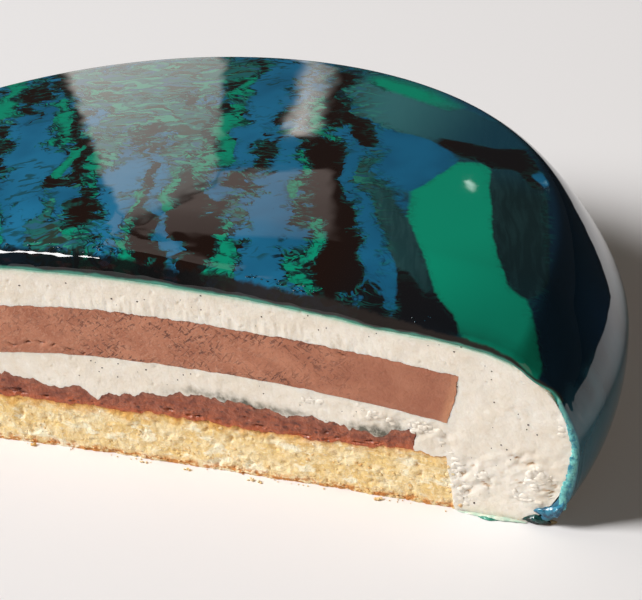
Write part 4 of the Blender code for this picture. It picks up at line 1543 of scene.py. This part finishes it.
# The glaze pressed out under the cut's right end and smeared on the table: name, seed, darker and
# lighter colour, size of its pattern, and path
TRACES = (
    ("glaze_foot", 97, (20, 66, 92), (58, 132, 160), 1.2, (
        (81.6, -9.6, 3.1, 0.45, 0.85), (83.0, -9.75, 3.2, 0.55, 1.0), (84.6, -9.85, 3.3, 0.55, 1.05),
        (86.2, -9.9, 3.8, 0.6, 1.05), (87.3, -9.9, 5.0, 0.55, 1.0), (87.8, -9.85, 6.6, 0.45, 0.9),
    )),
    ("glaze_pool", 98, (8, 20, 20), (30, 74, 70), 1.5, (
        (78.8, -9.0, 0.5, 0.5, 0.4), (80.4, -9.1, 1.0, 0.7, 0.8), (81.8, -9.2, 1.2, 0.8, 1.0),
        (83.2, -9.1, 0.9, 0.8, 0.8), (84.4, -8.9, 0.4, 0.6, 0.4),
    )),
    ("glaze_film", 99, (176, 208, 188), (214, 222, 204), 1.8, (
        (66.5, -8.9, 0.1, 0.3, 0.12), (69.5, -9.1, 0.1, 0.45, 0.16), (73.0, -9.4, 0.15, 0.5, 0.3),
        (76.0, -9.5, 0.2, 0.5, 0.4), (80.0, -9.6, 0.2, 0.4, 0.35),
    )),
    ("glaze_blob", 100, (16, 108, 92), (92, 168, 144), 1.6, (
        (70.8, -9.5, 0.05, 0.3, 0.12), (72.0, -9.75, 0.1, 0.45, 0.25), (73.6, -9.85, 0.1, 0.5, 0.28),
        (75.2, -9.8, 0.05, 0.3, 0.12),
    )),
    ("glaze_tab", 101, (150, 128, 92), (196, 178, 140), 1.2, (
        (82.9, -8.6, 0.1, 0.3, 0.15), (83.9, -8.4, 0.15, 0.7, 0.2), (85.2, -8.0, 0.1, 0.5, 0.15),
    )),
)


def make_trace(name, seed, dark, light, size, path):
    add_trail(name, path, trace_material(name, dark, light, size), seed)


def make_glaze_section():
    """The cut edge of the glaze at the right end, as a row of uneven beads."""
    edge = trace_material("glaze_section", (40, 118, 138), (116, 196, 190), 1.6)
    random = np.random.default_rng(23)
    spots = []
    for along in np.linspace(0.0, len(SECTION_PATH) - 1.0, SECTION_BEADS):
        x, z, thick = (np.interp(along, range(len(SECTION_PATH)), column) for column in zip(*SECTION_PATH))
        size = thick * random.uniform(0.75, 1.25)
        x, z = x + random.normal(0.0, 0.1), z + random.normal(0.0, 0.3)
        spots.append(((x, cut_y(x) - 0.05, z), (size, 0.5 * size, 1.3 * size)))
    add_balls("glaze_section", spots, edge, 105, rough=0.18, rings=8, slices=12)


def make_glaze_traces():
    foot, *on_table = TRACES
    make_trace(*foot)
    make_glaze_section()
    for trace in on_table:
        make_trace(*trace)


# Stretches of the lip with small drops on it, as x from and to, and how many
BEAD_RUNS = ((-3.0, 4.0, 9), (29.0, 43.0, 26), (60.0, 66.0, 5), (-24.0, -8.0, 10))
BEAD_BEHIND_CUT = (0.8, 3.6)
BEAD_SIZE = (0.1, 0.24)


def make_lip_beads(material):
    random = np.random.default_rng(19)
    spots = []
    for low, high, count in BEAD_RUNS:
        for _ in range(count):
            x = random.uniform(low, high)
            y = float(cut_y(x)) + random.uniform(*BEAD_BEHIND_CUT)
            z = float(dome_height(np.array([x]), np.array([y]))[0])
            size = random.uniform(*BEAD_SIZE)
            spots.append(((x, y, z), (size * random.uniform(1.0, 1.6), size, 0.6 * size)))
    add_balls("lip_beads", spots, material, 103, rough=0.2)


# ---------------------------------------------------------------- food materials

def mousse_material(name, depth):
    """Mousse that light enters by this share: loose curds are too small for that."""
    s = Shader(name)
    broad = s.noise((8.0, 8.0, 6.0), detail=3.0)
    fine = s.noise(1.6, detail=3.0, roughness=0.6)
    colour = s.blend(s.span(broad, 0.3, 0.7), (239, 232, 220), (231, 221, 205))
    colour = s.blend(s.span(fine, 0.5, 0.75, 0.0, 0.5), colour, (224, 210, 190))
    colour = s.blend(s.span(fine, 0.3, 0.45, 0.5, 0.0), colour, (245, 240, 231))
    # Painted shade: darker tan the deeper the hollows of the cut face, and in its tears
    colour = s.blend(s.span(s.attribute("cavity"), 0.3, 0.8, 0.0, 0.5), colour, (214, 192, 160))
    colour = s.blend(s.span(s.attribute("tear"), 0.1, 0.6, 0.0, 0.65), colour, (204, 164, 116))
    under_glaze = s.attribute("from_lip")
    patchy = s.span(s.noise(4.0, detail=3.0, shift=(0.0, 9.0, 0.0)), 0.3, 0.6, 0.45, 1.0)
    stained = s.times(s.span(under_glaze, 0.15, 0.8, 0.95, 0.0), patchy)
    colour = s.blend(stained, colour, (96, 176, 152))
    colour = s.blend(s.span(under_glaze, 0.3, 2.0, 0.22, 0.0), colour, (170, 205, 185))
    smeared = s.times(s.attribute("smear"), s.span(fine, 0.35, 0.65, 0.35, 0.9))
    colour = s.blend(smeared, colour, (102, 100, 88))
    grain = s.plus(s.times(fine, 0.5), s.times(s.noise(0.6), 0.5))
    return s.finish(
        colour, 0.5, s.bump(grain, 0.14),
        Specular_IOR_Level=0.35, Subsurface_Weight=depth,
        Subsurface_Radius=(1.0, 0.88, 0.72), Subsurface_Scale=1.2 * MM,
    )


# Turn and seed of the two sets of scratches on the insert, and how strong each is
SCRATCHES = ((-40.0, 0.0, 1.0), (34.0, 40.0, 0.7))


def cremeux_scratches(s):
    """Fine scratches of the knife, strongest in the middle and in patches."""
    x = s.at[0]
    where = s.noise((13.0, 13.0, 6.0), shift=(5.0, 0.0, 0.0))
    across = s.times(s.span_mm(x, 36.0, 52.0, 1.0, 0.1), s.span_mm(x, -14.0, 2.0, 0.35, 1.0))
    where = s.times(s.span(where, 0.36, 0.56, 0.2, 1.0), across)
    scratch = 0.0
    for turn, seed, strength in SCRATCHES:
        line = s.noise((1.5, 1.0, 0.5), roughness=0.55, distortion=0.3,
                       turn=(0.0, turn, 0.0), shift=(seed, 0.0, 0.0))
        scratch = s.math("MAXIMUM", scratch, s.span(line, 0.575, 0.65, 0.0, strength))
    return s.times(scratch, where)


def cremeux_material():
    s = Shader("cremeux")
    x = s.at[0]
    cloud = s.noise((6.0, 6.0, 4.0), detail=4.0, roughness=0.6)
    colour = s.blend(s.span(cloud, 0.3, 0.7), (188, 126, 97), (165, 102, 75))
    colour = s.blend(s.span_mm(x, 34.0, 54.0, 0.0, 0.4), colour, (156, 96, 72))
    pale = s.noise((1.2, 1.0, 0.5), detail=3.0, turn=(0.0, -38.0, 0.0), shift=(0.0, 0.0, 20.0))
    pale = s.times(s.span(pale, 0.52, 0.66), s.span_mm(x, 20.0, 42.0, 0.5, 0.08))
    colour = s.blend(pale, colour, (196, 144, 118))
    scratch = cremeux_scratches(s)
    colour = s.blend(s.times(scratch, 0.85), colour, (96, 50, 36))
    # Painted shade: dark brown in the hollows of the cut face
    colour = s.blend(s.span(s.attribute("cavity"), 0.25, 0.5, 0.0, 0.85), colour, (92, 48, 36))
    rim = s.span(s.attribute("from_end"), 0.2, 2.2, 1.0, 0.0)
    rim = s.times(rim, s.span(cloud, 0.35, 0.6, 0.2, 0.75))
    colour = s.blend(rim, colour, (208, 148, 110))
    height = s.minus(s.times(s.noise(0.5), 0.35), s.times(scratch, 0.7))
    return s.finish(
        colour, 0.45, s.bump(height, 0.3),
        Specular_IOR_Level=0.4, Subsurface_Weight=0.15,
        Subsurface_Radius=(1.0, 0.5, 0.35), Subsurface_Scale=0.8 * MM,
    )


def praline_material():
    s = Shader("praline")
    cloud = s.noise((4.0, 4.0, 1.8), detail=4.0, roughness=0.65)
    colour = s.blend(s.span(cloud, 0.35, 0.65), (160, 87, 58), (127, 63, 42))
    colour = s.blend(s.span(s.attribute("from_top"), 0.1, 1.4, 0.5, 0.0), colour, (160, 102, 78))
    fray = s.centred(s.noise((2.4, 2.4, 1.4), detail=3.0), 2.6)
    soaked = s.span(s.plus(s.attribute("from_low"), fray), 0.2, 1.5, 0.85, 0.0)
    colour = s.blend(soaked, colour, (176, 88, 48))
    crumb_size = (1.3, 1.3, 0.8)
    own = s.cells(crumb_size, output="Color")
    crumbs = s.times(s.span(s.cells(crumb_size), 0.2, 0.42, 1.0, 0.0), s.span(own, 0.66, 0.72))
    colour = s.blend(s.times(crumbs, 0.7), colour, (70, 32, 26))
    # Painted shade: dark in the cracks and hollows of the cut face
    colour = s.blend(s.span(s.attribute("cavity"), 0.48, 0.8, 0.0, 0.8), colour, (84, 34, 22))
    grain = s.noise(0.6, detail=3.0)
    return s.finish(
        colour, s.span(cloud, 0.3, 0.7, 0.24, 0.5), s.bump(grain, 0.3),
        Specular_IOR_Level=0.5, Subsurface_Weight=0.1,
        Subsurface_Radius=(1.0, 0.4, 0.25), Subsurface_Scale=0.8 * MM,
    )


def sponge_material(name, depth):
    """Sponge that light enters by this share: loose crumbs are too small for that."""
    s = Shader(name)
    from_top = s.attribute("from_top")
    cloud = s.noise((5.0, 5.0, 3.0), detail=4.0, roughness=0.6)
    crumb = s.noise((0.9, 0.9, 0.7), detail=3.0, roughness=0.65)
    white = s.noise((7.0, 7.0, 3.0), detail=3.0, roughness=0.6, shift=(20.0, 0.0, 0.0))
    colour = s.blend(s.span(cloud, 0.35, 0.65), (244, 224, 180), (234, 202, 138))
    colour = s.blend(s.span(crumb, 0.5, 0.7, 0.0, 0.6), colour, (250, 240, 212))
    colour = s.blend(s.span(white, 0.54, 0.62, 0.0, 0.7), colour, (255, 247, 222))
    # Painted shade: darker golden in the hollows of the cut face; on loose crumbs this is tone at random
    colour = s.blend(s.span(s.attribute("cavity"), 0.45, 1.0, 0.0, 0.75), colour, (220, 166, 92))
    fray = s.centred(s.noise((3.2, 6.0, 2.0), detail=3.0), 6.0)
    soaked = s.span(s.plus(from_top, fray), 0.2, 2.4, 0.8, 0.0)
    soaked = s.times(soaked, s.span_mm(s.at[0], 20.0, 50.0, 1.0, 0.45))
    colour = s.blend(soaked, colour, (222, 168, 84))
    near_praline = s.span(s.plus(from_top, s.times(fray, 0.3)), -0.2, 0.8, 0.7, 0.0)
    colour = s.blend(near_praline, colour, (206, 128, 66))
    crust = s.span(s.plus(s.attribute("from_low"), s.times(fray, 0.25)), 0.5, 1.9, 0.95, 0.0)
    spotted = s.span(s.noise((1.3, 1.3, 0.6)), 0.44, 0.56, 0.1, 1.0)
    colour = s.blend(s.times(crust, spotted), colour, (200, 130, 66))
    return s.finish(
        colour, 0.7, s.bump(crumb, 0.35),
        Specular_IOR_Level=0.2, Subsurface_Weight=depth,
        Subsurface_Radius=(1.0, 0.9, 0.7), Subsurface_Scale=1.0 * MM,
    )


# ---------------------------------------------------------------- studio

def camera_axes():
    """The camera's right, up and forward directions."""
    forward = np.array([
        math.sin(CAMERA_YAW) * math.cos(CAMERA_PITCH),
        math.cos(CAMERA_YAW) * math.cos(CAMERA_PITCH),
        -math.sin(CAMERA_PITCH),
    ])
    level = np.array([math.cos(CAMERA_YAW), -math.sin(CAMERA_YAW), 0.0])
    upright = np.cross(level, forward)
    right = math.cos(CAMERA_ROLL) * level + math.sin(CAMERA_ROLL) * upright
    up = -math.sin(CAMERA_ROLL) * level + math.cos(CAMERA_ROLL) * upright
    return right, up, forward


def make_camera():
    right, up, forward = camera_axes()
    data = bpy.data.cameras.new("camera")
    data.sensor_width = SENSOR_MM
    data.lens = CAMERA_FOCAL_PX * SENSOR_MM / FRAME_WIDTH
    data.clip_start, data.clip_end = CAMERA_CLIP
    camera = add_object("camera", data)
    turn = Matrix([right, up, -forward]).transposed().to_4x4()
    place = Matrix.Translation(Vector((np.array(CAMERA_AT) + SHIFT) * MM))
    camera.matrix_world = place @ turn
    bpy.context.scene.camera = camera


def add_light(name, direction, distance, size, power, colour):
    """A rectangular softbox in this direction from the cake, facing it."""
    data = bpy.data.lights.new(name, "AREA")
    data.shape = "RECTANGLE"
    data.size, data.size_y = size
    data.energy = power
    data.color = colour
    light = add_object(name, data)
    toward = Vector(direction).normalized()
    light.location = toward * distance
    light.rotation_euler = toward.to_track_quat("Z", "Y").to_euler()


LOWEST_MIRROR_Z = 25.0
MIRROR_STEP = 0.5
SIGHT_STEPS = 2000


def sight_line(u, v):
    """The direction in which the camera sees a pixel."""
    right, up, forward = camera_axes()
    line = forward + (u - FRAME_WIDTH / 2) / CAMERA_FOCAL_PX * right
    line = line + (FRAME_HEIGHT / 2 - v) / CAMERA_FOCAL_PX * up
    return line / np.linalg.norm(line)


def mirrored(u, v, distance):
    """The place at this distance that the dome shows, as a mirror, at a pixel of the picture."""
    start, line = np.array(CAMERA_AT), sight_line(u, v)
    reach = np.linspace(start[2] - TOP_Z, start[2] - LOWEST_MIRROR_Z, SIGHT_STEPS) / -line[2]
    sight = start + reach[:, None] * line
    above = sight[:, 2] - dome_height(sight[:, 0], sight[:, 1])
    x, y, z = sight[np.argmax(above < 0.0)] if above.min() < 0.0 else sight[np.argmin(above)]
    here = dome_height(x, y)
    normal = np.array([
        here - dome_height(x + MIRROR_STEP, y),
        here - dome_height(x, y + MIRROR_STEP),
        MIRROR_STEP,
    ])
    normal /= np.linalg.norm(normal)
    return np.array([x, y, z]) + distance * (line - 2.0 * line.dot(normal) * normal)


# Lamps and bright windows that only the glaze shows. Each has a name, the pixels of its corners on the
# dome and its brightness at those, both clockwise from the upper left, the share of each side that fades
# (left, right, upper, lower), its distance in millimetres and its colour.
MIRROR_LIGHTS = (
    ("window", ((58, 72), (229, 56), (217, 184), (123, 233)), (1.75, 1.2, 0.95, 1.2),
     (0.06, 0.05, 0.0, 0.03), 1600, (1.0, 0.95, 0.89)),
    ("veil", ((120, 166), (337, 169), (341, 243), (108, 234)), (0.85, 0.8, 0.55, 0.85),
     (0.0, 0.04, 0.03, 0.03), 1750, (1.0, 0.82, 0.75)),
    ("band", ((296, 62), (348, 66), (324, 136), (277, 138)), (1.3, 1.1, 2.2, 4.2),
     (0.4, 0.6, 0.0, 0.06), 1650, (1.0, 0.93, 0.87)),
    ("lamp", ((457, 180), (470, 177), (476, 188), (471, 195)), (3.0, 5.0, 7.0, 4.0),
     (0.4, 0.3, 0.3, 0.4), 1650, (0.9, 1.0, 0.95)),
    ("glint", ((540, 179), (556, 187), (556, 190), (540, 182)), (4.0, 9.0, 9.0, 4.0),
     (0.2, 0.2, 0.3, 0.3), 1650, (0.6, 0.9, 1.0)),
)
CARD_STEPS = 16
# Softboxes: name, direction from the cake, distance and size in metres, power in watts and colour
SOFTBOXES = (
    ("key", (-0.69, -0.34, 0.64), 3.4, (1.22, 1.46), 163.0, (1.0, 0.99, 0.98)),
    ("fill", (0.85, -0.35, 0.40), 1.6, (1.6, 1.2), 6.0, (1.0, 0.81, 0.64)),
)
SURROUND_COLOUR = (0.95, 0.98, 1.0, 1.0)
SURROUND_STRENGTH = 0.03


def corner_mix(corners, a, b):
    """Between four values given clockwise from the upper left."""
    upper_left, upper_right, lower_right, lower_left = (np.asarray(c, float) for c in corners)
    return mix(mix(upper_left, upper_right, a), mix(lower_left, lower_right, a), b)


def glow_material(name, colour):
    s = Shader(name)
    light = s.add("ShaderNodeEmission")
    light.inputs["Color"].default_value = (*colour, 1.0)
    s.plug(light.inputs["Strength"], s.attribute("glow"))
    s.plug(s.tree.nodes["Material Output"].inputs["Surface"], light.outputs[0])
    return s.material


def add_card(name, pixels, glows, softness, distance, colour):
    """A glowing panel that shows between these pixels of the dome. With no soft upper edge there, it
    reaches down to the floor, and so shows right up to the rim of the cake."""
    left, right, upper, lower = softness
    wide = CARD_STEPS + 1
    points, glow = [], []
    for n, m in np.ndindex(wide, wide):
        a, b = m / CARD_STEPS, n / CARD_STEPS
        points.append((mirrored(*corner_mix(pixels, a, b), distance) + SHIFT) * MM)
        fade = 1.0
        for gap, soft in ((a, left), (1.0 - a, right), (b, upper), (1.0 - b, lower)):
            fade *= float(smooth(gap, 0.0, soft)) if soft else 1.0
        glow.append(float(corner_mix(glows, a, b)) * fade)
    if not upper:
        points = [(x, y, 0.0) for x, y, z in points[:wide]] + points
        glow = glow[:wide] + glow
    faces = []
    for n, m in np.ndindex(len(points) // wide - 1, CARD_STEPS):
        near, far = n * wide + m, (n + 1) * wide + m
        faces.append((near, near + 1, far + 1, far))
    card = add_stage(name, points, faces, glow_material(name, colour))
    set_attribute(card, "glow", glow)
    hide_from_all_but_glaze(card)


def hide_from_all_but_glaze(obj):
    obj.visible_camera = False
    obj.visible_diffuse = False
    obj.visible_shadow = False
    obj.visible_transmission = False


def add_stage(name, points, faces, material):
    """A thing of the studio, from points in the frame's own metres."""
    mesh = bpy.data.meshes.new(name)
    mesh.from_pydata([tuple(p) for p in points], [], faces)
    mesh.materials.append(material)
    obj = add_object(name, mesh)
    return obj


# Painted dark reflection: a black sheet just over the floor behind the cake, hidden from the camera, from
# diffuse
# light and from shadows, that the shoulder of the glaze reflects in place of the lit floor
FLAG_EDGE = (
    (-2900, 1240), (-400, 360), (-60, 240), (17, 205), (71, 180), (101, 110), (220, 165), (303, 208),
    (2900, 1320),
)
FLAG_FAR_Y = 2990.0
FLAG_Z = 1.0
FLAG_COLOURS = ((0.01, 0.01, 0.01, 1.0), (0.02, 0.02, 0.02, 1.0))
FLOOR_HALF = 3.0                # metres
FLOOR_Z = -0.02 * MM
FLOOR_COLOURS = ((0.825, 0.815, 0.82, 1.0), (0.805, 0.795, 0.8, 1.0))


def matt_material(name, size, detail, colours, roughness):
    """A matt surface that varies between two colours, which are linear and have an alpha."""
    s = Shader(name)
    return s.finish(s.blend(s.noise(size, detail), *colours), roughness, Specular_IOR_Level=0.0)


def make_dark_reflection_sheet():
    outline = [(x, y, FLAG_Z) for x, y in FLAG_EDGE]
    outline += [(x, FLAG_FAR_Y, FLAG_Z) for x, _ in reversed(FLAG_EDGE)]
    points = (np.array(outline) + SHIFT) * MM
    dark_reflection_material = matt_material("dark_reflection_sheet", 4.0, 2.0, FLAG_COLOURS, 1.0)
    hide_from_all_but_glaze(add_stage("dark_reflection_sheet", points, [range(len(points))], dark_reflection_material))


def make_floor():
    signs = ((-1, -1), (1, -1), (1, 1), (-1, 1))
    points = [(FLOOR_HALF * a, FLOOR_HALF * b, FLOOR_Z) for a, b in signs]
    add_stage("floor", points, [range(4)], matt_material("floor", 400.0, 1.0, FLOOR_COLOURS, 0.35))


def make_studio():
    world = bpy.data.worlds.new("studio")
    world.use_nodes = True
    background = world.node_tree.nodes["Background"]
    background.inputs["Color"].default_value = SURROUND_COLOUR
    background.inputs["Strength"].default_value = SURROUND_STRENGTH
    bpy.context.scene.world = world
    bpy.context.scene.view_settings.view_transform = "Standard"
    for softbox in SOFTBOXES:
        add_light(*softbox)
    for light in MIRROR_LIGHTS:
        add_card(*light)
    make_dark_reflection_sheet()


# ---------------------------------------------------------------- everything

make_camera()
make_studio()
make_floor()
make_glaze(glaze_material())
make_mousse(mousse_material("vanilla_mousse", depth=0.5))
make_curds(mousse_material("mousse_curds", depth=0.0))
make_vanilla_specks()
make_layer("sponge_layer", SPONGE, sponge_relief, sponge_material("sponge", depth=0.4), "sponge_base")
make_sponge_crumbs(sponge_material("sponge_crumbs", depth=0.0))
make_glaze_traces()
make_lip_beads(trace_material("glaze_bead", (14, 34, 42), (26, 76, 98), roughness=0.06))
make_layer("praline_layer", PRALINE, praline_relief, praline_material(), "praline_crunch")
make_layer("cremeux_layer", CREMEUX, cremeux_relief, cremeux_material(), "cremeux_insert")
